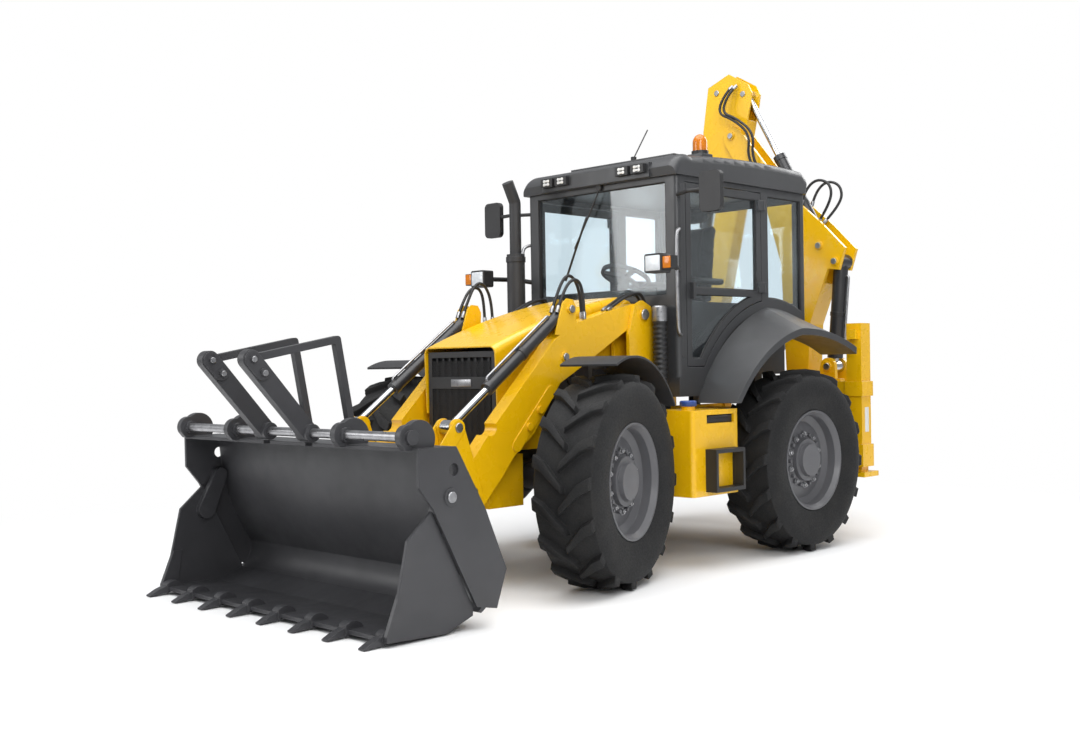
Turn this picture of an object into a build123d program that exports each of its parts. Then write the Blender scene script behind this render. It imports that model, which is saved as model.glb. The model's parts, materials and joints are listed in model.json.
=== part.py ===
"""Four-wheel-steer backhoe loader with a clam shovel and fold-over pallet forks.

Millimetres. X points forward, Y to the machine's left, Z up, ground at Z = 0.
Stations along the machine are counted from the rear axle, whose place in the
shared frame is REAR_AXLE_X, so that the whole machine is centred on the origin.
"""
import os
from math import atan2, cos, dist, hypot, pi, radians, sin

from build123d import *

os.makedirs("parts", exist_ok=True)

# Driving dimensions: the whole machine
REAR_AXLE_X = -1398.0
WHEELBASE = 2183.0
WHEEL_Y = 930.0
KINGPIN_Y = 760.0
FRONT_STEER = 16.0
PIN_GAP = 0.5
ROD_GAP = 0.3
SWING_GAP = 6.0

# Driving dimensions: wheels
TYRE_R = 690.0
TYRE_WIDTH = 440.0
TREAD_WIDTH = 390.0
LUG_HEIGHT = 36.0
LUG_PAIRS = 16
RIM_R = 355.0
RIM_WIDTH = 380.0
HUB_R = 150.0

# Driving dimensions: loader pins as (station, height)
ARM_Y = 474.0
ARM_WIDTH = 110.0
ARM_SLOT = 86.0
ARM_PIVOT = (1330.0, 1790.0)
ARM_TIP = (3230.0, 330.0)
TILT_BASE = (2045.0, 1815.0)
LIFT_EYE = (2110.0, 1494.0)
LIFT_BASE = (1400.0, 600.0)
LEVER_PIVOT = (2960.0, 660.0)
LEVER_PIN = (3085.0, 1068.0)
BUCKET_EAR = (
    ARM_TIP[0] + LEVER_PIN[0] - LEVER_PIVOT[0],
    ARM_TIP[1] + LEVER_PIN[1] - LEVER_PIVOT[1],
)
TOWER_PLATE = 30.0
TOWER_OUT = ARM_WIDTH / 2 + PIN_GAP + TOWER_PLATE / 2

# Driving dimensions: clam shovel and forks
BUCKET_HALF = 1210.0
BUCKET_SIDE = 20.0
CLAM_PIVOT = (3725.0, 744.0)
FORK_SHAFT = (3951.0, 1072.0)
FORK_SHAFT_R = 26.0
FORK_Y = 220.0
TOOTH_COUNT = 8
TOOTH_PITCH = 320.0

# Driving dimensions: hoe pins as (across, height) in the plane of the boom
HOE_X = -1290.0
POST_Y = 450.0
BOOM_FOOT = (215.0, 1010.0)
BOOM_ROD_PIN = (520.0, 1390.0)
BOOM_BARREL_PIN = (600.0, 2290.0)
DIPPER_BARREL_PIN = (448.0, 2436.0)
DIPPER_PIVOT = (-457.0, 3508.0)
DIPPER_ROD_PIN = (-345.0, 3880.0)
HOE_BARREL_PIN = (-636.0, 3934.0)
HOE_LEVER_PIVOT = (-790.0, 2080.0)
HOE_BUCKET_PIVOT = (-790.0, 1790.0)
HOE_LEVER_RUN = (-189.0, -270.0)
HOE_LEVER_PIN = (HOE_LEVER_PIVOT[0] + HOE_LEVER_RUN[0], HOE_LEVER_PIVOT[1] + HOE_LEVER_RUN[1])
HOE_BUCKET_EAR = (HOE_BUCKET_PIVOT[0] + HOE_LEVER_RUN[0], HOE_BUCKET_PIVOT[1] + HOE_LEVER_RUN[1])
BOOM_WIDTH = 220.0
BOOM_SLOT = 150.0
DIPPER_WIDTH = BOOM_SLOT - 2 * PIN_GAP
DIPPER_SLOT = 115.0
HOE_BUCKET_WIDTH = 600.0

# Driving dimensions: rear frame and legs
FRAME_FRONT_X = -785.0
FRAME_REAR_X = -926.0
LEG_OUTER_Y = 1070.0
LEG_INNER_Y = 936.0
CARRIAGE_HALF = 340.0

# Driving dimensions: cab
CAB_HALF = 750.0
CAB_FRONT_X = 1160.0
CAB_REAR_X = -490.0
CAB_FLOOR_Z = 1340.0
CAB_TOP_Z = 2780.0
CAB_WALL = 60.0
GLASS = 8.0
TUB_HALF = 540.0


def side_plane(y):
    """Sketch plane seen from the right: (station, height) at the given Y."""
    return Plane(origin=(REAR_AXLE_X, y, 0), x_dir=(1, 0, 0), z_dir=(0, -1, 0))


def cross_plane(x):
    """Sketch plane seen from the front: (Y, height) at the given station."""
    return Plane(origin=(REAR_AXLE_X + x, 0, 0), x_dir=(0, 1, 0), z_dir=(1, 0, 0))


def outline(plane, points):
    """Closed polygon on a plane."""
    with BuildSketch(plane, mode=Mode.PRIVATE) as profile:
        with BuildLine():
            Polyline(*points, close=True)
        make_face()
    return profile.sketch


def curved(plane, start, steps):
    """Closed outline: a step is a point for a straight edge, or (through, end) for an arc."""
    with BuildSketch(plane, mode=Mode.PRIVATE) as profile:
        with BuildLine():
            here = start
            for step in steps:
                if isinstance(step[0], tuple):
                    ThreePointArc(here, step[0], step[1])
                    here = step[1]
                else:
                    Line(here, step)
                    here = step
            Line(here, start)
        make_face()
    return profile.sketch


def disc(plane, centre, radius):
    """Circle on a plane."""
    with BuildSketch(plane, mode=Mode.PRIVATE) as profile:
        with Locations(centre):
            Circle(radius)
    return profile.sketch


def strap(plane, start, end, radius, end_radius=None):
    """Round-ended bar between two pins on a plane."""
    end_radius = end_radius or radius
    lean = atan2(end[1] - start[1], end[0] - start[0])
    nx, ny = -sin(lean), cos(lean)
    with BuildSketch(plane, mode=Mode.PRIVATE) as profile:
        with Locations(start):
            Circle(radius)
        with Locations(end):
            Circle(end_radius)
        with BuildLine():
            Polyline(
                (start[0] + nx * radius, start[1] + ny * radius),
                (end[0] + nx * end_radius, end[1] + ny * end_radius),
                (end[0] - nx * end_radius, end[1] - ny * end_radius),
                (start[0] - nx * radius, start[1] - ny * radius),
                close=True,
            )
        make_face()
    return profile.sketch


def slab(sketch, width, mode=Mode.ADD):
    """Extrude a sketch to both sides of its plane."""
    extrude(sketch, amount=width / 2, both=True, mode=mode)


def block(x0, x1, y0, y1, z0, z1, mode=Mode.ADD):
    """Box between two corners, stations counted from the rear axle."""
    with Locations((REAR_AXLE_X + (x0 + x1) / 2, (y0 + y1) / 2, (z0 + z1) / 2)):
        Box(x1 - x0, y1 - y0, z1 - z0, mode=mode)


def rod(start, end, radius, mode=Mode.ADD):
    """Round bar between two points (station, Y, height)."""
    run = Vector(*end) - Vector(*start)
    plane = Plane(origin=(REAR_AXLE_X + start[0], start[1], start[2]), z_dir=run)
    with BuildSketch(plane, mode=Mode.PRIVATE) as profile:
        Circle(radius)
    extrude(profile.sketch, amount=run.length, mode=mode)


def pipe(points, bend, radius):
    """Bent tube through points (station, Y, height)."""
    with BuildLine(mode=Mode.PRIVATE) as route:
        FilletPolyline(*[(REAR_AXLE_X + x, y, z) for x, y, z in points], radius=bend)
    start = Plane(origin=route.line @ 0, z_dir=route.line % 0)
    with BuildSketch(start, mode=Mode.PRIVATE) as profile:
        Circle(radius)
    sweep(profile.sketch, path=route.line)


def on_line(start, end, distance):
    """Point at a distance from start towards end."""
    run = hypot(end[0] - start[0], end[1] - start[1])
    share = distance / run
    return (start[0] + (end[0] - start[0]) * share, start[1] + (end[1] - start[1]) * share)


def turned(point, pivot, angle):
    """Point turned about a pivot in its own plane."""
    x, z = point[0] - pivot[0], point[1] - pivot[1]
    return (pivot[0] + x * cos(angle) - z * sin(angle), pivot[1] + x * sin(angle) + z * cos(angle))


def side_point(pin, y):
    """Pin (station, height) of the loader as a point at the given Y."""
    return (pin[0], y, pin[1])


def hoe_point(pin):
    """Pin (across, height) of the hoe as a point in the boom's plane."""
    return (HOE_X, pin[0], pin[1])


def finish(builder, node):
    """Label a finished node and write its file."""
    builder.part.label = node
    export_step(builder.part, f"parts/{node}.step")


# Wheels: one tyre and one rim are formed round the Y axis and set four times
TREAD_R = TYRE_R - LUG_HEIGHT
TREAD_HALF = TREAD_WIDTH / 2
TYRE_SIDES = 2 * LUG_PAIRS
FLANGE_R = RIM_R + 22
BEAD_GAP = 0.6
LUG_ROOT = 20.0
LUG_PLAN = ((105, -12), (150, -12), (20, 130), (-10, TREAD_HALF), (-85, TREAD_HALF))


def many_sided(radius, sides, width):
    """Prism with flat sides round the Y axis, given by its corner radius."""
    with BuildPart(mode=Mode.PRIVATE) as form:
        with BuildSketch(Plane.XZ):
            RegularPolygon(radius, sides)
        extrude(amount=width / 2, both=True)
    return form.part


SHOULDER_R = TREAD_R - 16
BULGE_R = TYRE_R - 150
BEAD_R = FLANGE_R + 30
BEAD_DEEP = (TYRE_WIDTH - RIM_WIDTH) / 2 + 6
FLAT = cos(pi / LUG_PAIRS)
bore_r = (FLANGE_R + BEAD_GAP) / FLAT
with BuildPart(mode=Mode.PRIVATE) as carcass:
    add(many_sided(SHOULDER_R, LUG_PAIRS, TYRE_WIDTH))
    add(many_sided(bore_r, LUG_PAIRS, 2 * TYRE_WIDTH), mode=Mode.SUBTRACT)
    for side in (1, -1):
        with Locations((0, side * (TYRE_WIDTH - BEAD_DEEP), 0)):
            add(many_sided(BEAD_R, LUG_PAIRS, TYRE_WIDTH), mode=Mode.SUBTRACT)
        wall = carcass.faces().sort_by(Axis.Y)[-1 if side > 0 else 0]
        chamfer(wall.inner_wires()[0].edges(), (BULGE_R - BEAD_R) * FLAT, BEAD_DEEP - 1, reference=wall)
        wall = carcass.faces().sort_by(Axis.Y)[-1 if side > 0 else 0]
        shoulder_drop = TYRE_WIDTH / 2 - TREAD_HALF
        chamfer(wall.outer_wire().edges(), (SHOULDER_R - BULGE_R) * FLAT - 6, shoulder_drop, reference=wall)
with BuildPart(mode=Mode.PRIVATE) as lug_form:
    for row in (1, -1):
        with BuildSketch(Plane.XY.offset(TREAD_R - LUG_HEIGHT - LUG_ROOT)):
            with BuildLine():
                Polyline(*[(along, row * across) for along, across in LUG_PLAN], close=True)
            make_face()
        extrude(amount=2 * LUG_HEIGHT + 2 * LUG_ROOT)
    add(many_sided(TYRE_R, TYRE_SIDES, TREAD_WIDTH), mode=Mode.INTERSECT)
lugs = []
for lug_number in range(LUG_PAIRS):
    for row, lug in enumerate(lug_form.part.solids()):
        lugs.append(lug.rotate(Axis.Y, (2 * lug_number + row) * 180 / LUG_PAIRS))
with BuildPart(mode=Mode.PRIVATE) as tyre_form:
    add(carcass.part)
    add(lugs)

NUT_COUNT = 10
NUT_CIRCLE = 195.0
with BuildPart(mode=Mode.PRIVATE) as rim_form:
    with BuildSketch(Plane.YZ):
        with BuildLine():
            Polyline(
                (-RIM_WIDTH / 2, FLANGE_R),
                (RIM_WIDTH / 2, FLANGE_R),
                (RIM_WIDTH / 2, RIM_R + 8),
                (RIM_WIDTH / 2 - 34, RIM_R - 16),
                (92, RIM_R - 16),
                (66, RIM_R - 64),
                (96, HUB_R + 6),
                (84, HUB_R + 6),
                (52, RIM_R - 70),
                (74, RIM_R - 16),
                (-RIM_WIDTH / 2, RIM_R - 16),
                close=True,
            )
        make_face()
    revolve(axis=Axis.Y)
    with BuildSketch(Plane.XZ):
        Circle(HUB_R + 10)
        Circle(HUB_R - 25, mode=Mode.SUBTRACT)
    extrude(amount=-130)
    with BuildSketch(Plane.XZ.offset(-118)):
        Circle(HUB_R - 20)
    extrude(amount=-44, taper=12)
    with BuildSketch(Plane.XZ.offset(-60)):
        with PolarLocations(NUT_CIRCLE, NUT_COUNT):
            RegularPolygon(15, 6)
    extrude(amount=-52)


def wheel_frame(corner, station, steer):
    """Wheel centre frame: Y runs along the axle, outwards to the left."""
    turned = radians(steer)
    out = (WHEEL_Y - KINGPIN_Y) * corner
    centre = (
        REAR_AXLE_X + station - sin(turned) * out,
        KINGPIN_Y * corner + cos(turned) * out,
        TYRE_R,
    )
    return Location(centre, (0, 0, steer))


CORNERS = (
    ("front_left", 1, WHEELBASE, FRONT_STEER),
    ("front_right", -1, WHEELBASE, FRONT_STEER),
    ("rear_left", 1, 0.0, 0.0),
    ("rear_right", -1, 0.0, 0.0),
)
for corner_name, corner, station, steer in CORNERS:
    place = wheel_frame(corner, station, steer)
    with BuildPart() as tyre:
        with Locations(place):
            add(tyre_form.part)
    finish(tyre, f"tyre_{corner_name}")
    with BuildPart() as rim:
        with Locations(place * Location((0, 0, 0), (0, 0, 90 - 90 * corner))):
            add(rim_form.part)
    finish(rim, f"rim_{corner_name}")

# Knuckles: kingpin barrel and hub, with the mudguard that turns with each front wheel
HUB_CLEAR = HUB_R - 25 - ROD_GAP
KNUCKLE_HALF = 150.0
KING_OFFSET = KINGPIN_Y - WHEEL_Y
GUARD_R = 790.0
with BuildPart(mode=Mode.PRIVATE) as knuckle_form:
    with Locations((0, KING_OFFSET, 0)):
        Cylinder(95, 2 * KNUCKLE_HALF)
    with Locations(Location((0, (KING_OFFSET + 110) / 2, 0), (90, 0, 0))):
        Cylinder(HUB_CLEAR, 110 - KING_OFFSET)
    with Locations((0, KING_OFFSET, 0)):
        Cylinder(30, 2 * KNUCKLE_HALF + 20, mode=Mode.SUBTRACT)


def guarded_knuckle(lean):
    """Front knuckle with its mudguard, whose tail lies towards -lean along X."""
    with BuildPart(mode=Mode.PRIVATE) as form:
        add(knuckle_form.part)
        with BuildSketch(Plane.XZ.offset(190)) as guard:
            Circle(GUARD_R + 14)
            Circle(GUARD_R, mode=Mode.SUBTRACT)
            with BuildLine():
                Polyline((0, 0), (lean * 340, 900), (lean * -900, 900), (lean * -900, 640), close=True)
            make_face(mode=Mode.INTERSECT)
        extrude(amount=-395)
        post_y = KING_OFFSET - 80
        with Locations((lean * -130, KING_OFFSET, 90)):
            Box(140, 70, 100)
        with Locations((lean * -185, KING_OFFSET - 47, 150)):
            Box(30, 95, 180)
        with Locations((lean * -250, post_y, 210)):
            Box(160, 30, 60)
        with Locations((lean * -300, post_y, 465)):
            Box(60, 30, 570)
        with Locations((lean * -300, (post_y - 160) / 2, 735)):
            Box(60, -post_y - 130, 30)
    return form.part


for corner_name, corner, station, steer in CORNERS:
    place = wheel_frame(corner, station, steer)
    with BuildPart() as knuckle:
        with Locations(place * Location((0, 0, 0), (0, 0, 90 - 90 * corner))):
            add(guarded_knuckle(corner) if station > 0 else knuckle_form.part)
    finish(knuckle, f"knuckle_{corner_name}")

# Axles: banjo housing, beam and yokes with the kingpins
BANJO = ((-240, 0), (-240, 100), (-110, 190), (110, 190), (240, 100), (240, 0))
SADDLE_Z = TYRE_R + 205
for axle_name, station in (("front_axle", WHEELBASE), ("rear_axle", 0.0)):
    with BuildPart() as axle:
        rod((station, -KINGPIN_Y + 120, TYRE_R), (station, KINGPIN_Y - 120, TYRE_R), 85)
        with BuildSketch(cross_plane(station)):
            with BuildLine():
                Polyline(*[(y, TYRE_R + r) for y, r in BANJO], close=True)
            make_face()
        revolve(axis=Axis((REAR_AXLE_X + station, 0, TYRE_R), (0, 1, 0)))
        block(station - 130, station + 130, -210, 210, TYRE_R, SADDLE_Z)
        for corner in (1, -1):
            y = KINGPIN_Y * corner
            for jaw in (1, -1):
                low = KNUCKLE_HALF + PIN_GAP
                z0, z1 = sorted((TYRE_R + jaw * low, TYRE_R + jaw * (low + 35)))
                block(station - 70, station + 70, min(y, y - corner * 190), max(y, y - corner * 190), z0, z1)
                rod((station, y, z0), (station, y, z1), 70)
            inner, outer = sorted((y - corner * 190, y - corner * 110))
            block(station - 70, station + 70, inner, outer, TYRE_R - low - 35, TYRE_R + low + 35)
            rod((station, y, TYRE_R - low - 10), (station, y, TYRE_R + low + 10), 30 - ROD_GAP)
    finish(axle, axle_name)

TANK_INNER_Y = 600.0
RAIL_TOP_Z = 1080.0
HOOD_HINGE = (1230.0, 1862.0)

# Main frame: rails, cross members, nose block and the two loader towers
with BuildPart() as main_frame:
    for hand in (1, -1):
        block(FRAME_FRONT_X, 2508, hand * 320 - 25, hand * 320 + 25, 880, RAIL_TOP_Z)
        for y in (ARM_Y - TOWER_OUT, ARM_Y + TOWER_OUT):
            tower = [(1190, 540), (1190, 1700), (1240, 1850), (1330, 1890), (1420, 1850), (1480, 1650)]
            tower.append((1480, 540))
            slab(outline(side_plane(hand * y), tower), TOWER_PLATE)
        block(1190, 1300, hand * ARM_Y - 80, hand * ARM_Y + 80, 560, 1560)
        block(1190, 1290, min(hand * 300, hand * 430), max(hand * 300, hand * 430), 900, 1060)
    block(-640, -560, -300, 300, 900, 1060)
    block(1190, 1290, -300, 300, 900, 1060)
    block(2380, 2690, -390, 390, 520, 860)
    block(2380, 2508, -345, 345, 840, 1080)
    for hand in (1, -1):
        y0, y1 = sorted((hand * 340, hand * TANK_INNER_Y))
        block(850, 960, y0, y1, 900, 1060)
    for station in (0.0, WHEELBASE):
        block(station - 150, station + 150, -345, 345, SADDLE_Z, SADDLE_Z + 50)
    for hand in (1, -1):
        y0, y1 = sorted((hand * 240, hand * 280))
        block(1200, 1250, y0, y1, 1050, 1845)
        slab(disc(side_plane(hand * 260), HOOD_HINGE, 20), 40)
        rod((HOOD_HINGE[0], hand * 270, HOOD_HINGE[1]), (HOOD_HINGE[0], hand * 312, HOOD_HINGE[1]), 12)
        for end in (ARM_PIVOT, LIFT_BASE):
            slab(disc(side_plane(hand * (ARM_Y + 86)), end, 38), 40)
finish(main_frame, "main_frame")

# Engine and radiator behind the grille: one plain block
with BuildPart() as engine:
    block(1330, 2440, -270, 270, 1000, 1480)
    block(2440, 2500, -310, 310, 1090, 1540)
    block(1340, 2300, -220, 220, 1480, 1620)
    block(900, 1330, -200, 200, 900, RAIL_TOP_Z)
    add(main_frame.part, mode=Mode.SUBTRACT)
finish(engine, "engine")

# Side tanks with handle recess and filler neck, and the steps hung on them
TANK_REAR_X, TANK_FRONT_X = 790.0, 1330.0
TANK_OUTER_Y = 990.0
TANK_LOW_Z, TANK_TOP_Z = 510.0, 1110.0
HANDLE_DEEP = 28.0
with BuildPart() as side_tanks:
    for hand in (1, -1):
        y0, y1 = sorted((hand * TANK_INNER_Y, hand * TANK_OUTER_Y))
        block(TANK_REAR_X, TANK_FRONT_X, y0, y1, TANK_LOW_Z, TANK_TOP_Z)
    fillet(side_tanks.edges().filter_by(Axis.Z), 30)
    for hand in (1, -1):
        y0, y1 = sorted((hand * (TANK_OUTER_Y - HANDLE_DEEP), hand * (TANK_OUTER_Y + HANDLE_DEEP)))
        slot_x = TANK_REAR_X + 60
        block(slot_x, slot_x + 320, y0, y1, TANK_TOP_Z - 95, TANK_TOP_Z - 35, mode=Mode.SUBTRACT)
        neck = (TANK_FRONT_X - 120, hand * (TANK_OUTER_Y - 130))
        rod((*neck, TANK_TOP_Z), (*neck, TANK_TOP_Z + 30), 48)
finish(side_tanks, "side_tanks")
STEP_OUT = 95.0
STEP_THICK = 28.0
STEP_HEIGHTS = (540.0, 810.0)
with BuildPart() as steps:
    for hand in (1, -1):
        y0, y1 = sorted((hand * TANK_OUTER_Y, hand * (TANK_OUTER_Y + STEP_OUT)))
        for height in STEP_HEIGHTS:
            block(850, 1190, y0, y1, height, height + STEP_THICK)
        for x in (862, 1178):
            block(x - 12, x + 12, y0, y1, *[height + STEP_THICK / 2 for height in STEP_HEIGHTS])
finish(steps, "steps")

# Hood over the engine: a long arched top with rounded shoulders and dropped sides
HOOD_HALF = 360.0
HOOD_SKIN = 12.0
HOOD_NOSE_X = 2585.0
HOOD_SHOULDER = 55.0


def shoulders(form, half):
    """Long upper edges of a hood form at its two sides."""
    sides = form.edges().filter_by(lambda e: abs(abs(e.center().Y) - half) < 1)
    return sides.filter_by(lambda e: abs(e.tangent_at(0.5).X) > 0.8 and e.center().Z > 1560)


with BuildPart(mode=Mode.PRIVATE) as hood_hollow:
    inside = [(1180, 1893), (1330, 1913), ((1898, 1794), (2620, 1549)), (2620, 1000)]
    slab(curved(side_plane(0), (1180, 1400), inside), 2 * (HOOD_HALF - HOOD_SKIN))
    fillet(shoulders(hood_hollow, HOOD_HALF - HOOD_SKIN), HOOD_SHOULDER - HOOD_SKIN)
with BuildPart() as hood:
    crown = [(1215, 1905), (1330, 1925), ((1900, 1806), (HOOD_NOSE_X, 1574))]
    crown += [(HOOD_NOSE_X - 14, 1120), (2480, 1120)]
    slab(curved(side_plane(0), (1215, 1500), crown + [((2370, 1370), (1900, 1500))]), 2 * HOOD_HALF)
    fillet(shoulders(hood, HOOD_HALF), HOOD_SHOULDER)
    add(hood_hollow.part, mode=Mode.SUBTRACT)
    for hand in (1, -1):
        y0, y1 = sorted((hand * (280 + PIN_GAP), hand * 310))
        block(1217, 1262, y0, y1, 1836, 1900)
        slab(disc(side_plane(hand * 295), HOOD_HINGE, 12 + ROD_GAP), 40, mode=Mode.SUBTRACT)
finish(hood, "hood")

# Grille: black frame with vertical louvres and a blank badge bar, fixed to the nose
GRILLE_HALF = 335.0
LOUVRE_COUNT = 9
with BuildPart() as grille:
    block(2510, 2566, -GRILLE_HALF, GRILLE_HALF, 860, 1540)
    block(2530, 2600, -GRILLE_HALF + 35, GRILLE_HALF - 35, 900, 1500, mode=Mode.SUBTRACT)
    for louvre in range(LOUVRE_COUNT):
        y = (louvre - (LOUVRE_COUNT - 1) / 2) * 65
        block(2525, 2552, y - 8, y + 8, 880, 1510)
    block(2525, 2566, -GRILLE_HALF, GRILLE_HALF, 1290, 1370)
finish(grille, "grille")

# Loader arms: cranked box beams joined by a cross tube, with ear plates on top
ARM = [
    (1290, 1730),
    (1285, 1825),
    (1330, 1860),
    (1402, 1866),
    (1622, 1815),
    (2036, 1712),
    (2200, 1612),
    (2762, 1065),
    (2960, 850),
    (3300, 395),
    (3310, 300),
    (3240, 245),
    (3165, 262),
    (2885, 546),
    (2703, 732),
    (2592, 860),
    (2409, 997),
    (2157, 1319),
    (1952, 1422),
    (1426, 1702),
]
ARM_EAR = [(2000, 1640), (1990, 1830), (2020, 1880), (2080, 1885), (2120, 1850), (2195, 1640)]
LIFT_POCKET = [(2215, 1200), (2215, 1560), (2080, 1585), (1790, 1560), (1790, 1200)]
EAR_PLATE = (ARM_WIDTH - ARM_SLOT) / 2
FISHPLATE = ((2249.0, 1266.0), (2566.0, 927.0))
CROWD_ANGLE = radians(40)
CROWDED_PIN = turned(LEVER_PIN, LEVER_PIVOT, CROWD_ANGLE)
with BuildPart() as loader_arms:
    for hand in (1, -1):
        plane = side_plane(hand * ARM_Y)
        slab(outline(plane, ARM), ARM_WIDTH)
        slab(outline(plane, LIFT_POCKET), ARM_SLOT, mode=Mode.SUBTRACT)
        for edge in (1, -1):
            ear_y = hand * ARM_Y + edge * (ARM_SLOT + EAR_PLATE) / 2
            slab(outline(side_plane(ear_y), ARM_EAR), EAR_PLATE)
        for pin in (TILT_BASE, LIFT_EYE):
            slab(disc(side_plane(hand * (ARM_Y + ARM_WIDTH / 2)), pin, 34), 24)
        cheek = side_plane(hand * (ARM_Y + ARM_WIDTH / 2))
        slab(strap(cheek, *FISHPLATE, 40), 12)
        for share in (0.345, 0.66):
            slab(disc(cheek, on_line(*FISHPLATE, share * dist(*FISHPLATE)), 26), 44)
        slab(disc(plane, CROWDED_PIN, 45 + SWING_GAP), ARM_WIDTH + 1, mode=Mode.SUBTRACT)
    rod((2785, -ARM_Y, 700), (2785, ARM_Y, 700), 52)
finish(loader_arms, "loader_arms")


BORE_END = 75.0


def cylinder_pair(name, base, tip, barrel_r, rod_r, barrel_length, inside, eye_r, width):
    """Left and right rams of the loader: barrel from its base pin, rod to its tip pin."""
    with BuildPart() as barrels:
        for hand in (1, -1):
            y = hand * ARM_Y
            slab(disc(side_plane(y), base, eye_r), width)
            start = side_point(on_line(base, tip, eye_r * 0.6), y)
            stop = side_point(on_line(base, tip, barrel_length), y)
            rod(start, stop, barrel_r)
            collar = side_point(on_line(base, tip, barrel_length - 45), y)
            rod(collar, stop, barrel_r + 3)
            bore = side_point(on_line(base, tip, BORE_END), y)
            beyond = side_point(on_line(base, tip, barrel_length + 20), y)
            rod(bore, beyond, rod_r + ROD_GAP, mode=Mode.SUBTRACT)
    finish(barrels, f"{name}_barrels")
    with BuildPart() as rods:
        for hand in (1, -1):
            y = hand * ARM_Y
            rod(side_point(on_line(base, tip, inside), y), side_point(tip, y), rod_r)
            slab(disc(side_plane(y), tip, eye_r), width)
    finish(rods, f"{name}_rods")


EYE_WIDTH = ARM_SLOT - 2 * PIN_GAP
LIFT_RUN = dist(LIFT_EYE, LIFT_BASE)
TILT_RUN = dist(LEVER_PIN, TILT_BASE)
cylinder_pair("lift", LIFT_BASE, LIFT_EYE, 38, 30, LIFT_RUN - 90, 190, 50, EYE_WIDTH)
cylinder_pair("tilt", TILT_BASE, LEVER_PIN, 42, 25, TILT_RUN * 0.7, 310, 48, EYE_WIDTH)

# Tilt levers on the arms and the links that carry their pull to the shovel
LEVER_PLATE = 14.0
LEVER_IN = ARM_WIDTH / 2 + PIN_GAP
with BuildPart() as tilt_levers:
    for hand in (1, -1):
        for edge in (1, -1):
            y = hand * ARM_Y + edge * (LEVER_IN + LEVER_PLATE / 2)
            slab(strap(side_plane(y), LEVER_PIVOT, LEVER_PIN, 75, 55), LEVER_PLATE)
            boss_y = hand * ARM_Y + edge * (EYE_WIDTH / 2 + PIN_GAP + (LEVER_IN - ARM_SLOT / 2) / 2)
            slab(disc(side_plane(boss_y), LEVER_PIN, 45), LEVER_IN - ARM_SLOT / 2)
finish(tilt_levers, "tilt_levers")
LINK_IN = LEVER_IN + LEVER_PLATE + PIN_GAP
with BuildPart() as tilt_links:
    for hand in (1, -1):
        for edge in (1, -1):
            y = hand * ARM_Y + edge * (LINK_IN + LEVER_PLATE / 2)
            slab(strap(side_plane(y), LEVER_PIN, BUCKET_EAR, 50), LEVER_PLATE)
finish(tilt_links, "tilt_links")

# Shovel back: mouldboard with side plates, ears for arms and links, and fork shaft
BACK_SIDE = [(3680, 1014), (3944, 1014), (3942, 808), (3848, 690)]
BACK_SIDE += [(3548, 128), (3400, 100), (3322, 311), (3472, 655)]
BACK_EAR = [(3655, 760), (3452, 240), (3230, 240), (3145, 300)]
BACK_EAR += [(3170, 390), (3330, 480), (3345, 720), (3400, 760)]
BEARING = [(3800, 1005), ((3835, 1150), (3951, 1140)), ((4012, 1110), (4015, 1040)), (3985, 1005)]
MOULD_LIP = [(3944, 994), (3700, 985), ((3610, 545), (3466, 270)), ((3476, 180), (3545, 100)), (3520, 92)]
MOULD_BACK = [((3435, 190), (3430, 270)), ((3578, 560), (3676, 1000)), (3690, 1014)]
FORK_THICK = 60.0
with BuildPart() as bucket_back:
    slab(curved(side_plane(0), (3944, 1014), MOULD_LIP + MOULD_BACK), 2 * BUCKET_HALF)
    for hand in (1, -1):
        y = hand * (BUCKET_HALF - BUCKET_SIDE / 2)
        slab(outline(side_plane(y), BACK_SIDE), BUCKET_SIDE)
        slab(disc(side_plane(hand * (BUCKET_HALF - 6)), CLAM_PIVOT, 48), 28)
        slab(disc(side_plane(y), (3700, 890), 34), BUCKET_SIDE + 2, mode=Mode.SUBTRACT)
        for edge in (1, -1):
            ear = hand * ARM_Y + edge * (LEVER_IN + LEVER_PLATE / 2)
            slab(outline(side_plane(ear), BACK_EAR), LEVER_PLATE)
            slab(disc(side_plane(ear + edge * LEVER_PLATE), ARM_TIP, 42), LEVER_PLATE)
        notch_half = FORK_THICK / 2 + SWING_GAP
        notch_y = hand * FORK_Y
        block(3900, 3950, notch_y - notch_half, notch_y + notch_half, 980, 1020, mode=Mode.SUBTRACT)
    for y in (-1135, -560, 560, 1135):
        slab(curved(side_plane(y), BEARING[0], BEARING[1:]), 44)
        slab(disc(side_plane(y), FORK_SHAFT, FORK_SHAFT_R + 14), 90)
    rod((FORK_SHAFT[0], -1160, FORK_SHAFT[1]), (FORK_SHAFT[0], 1160, FORK_SHAFT[1]), FORK_SHAFT_R)
finish(bucket_back, "bucket_back")

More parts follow.
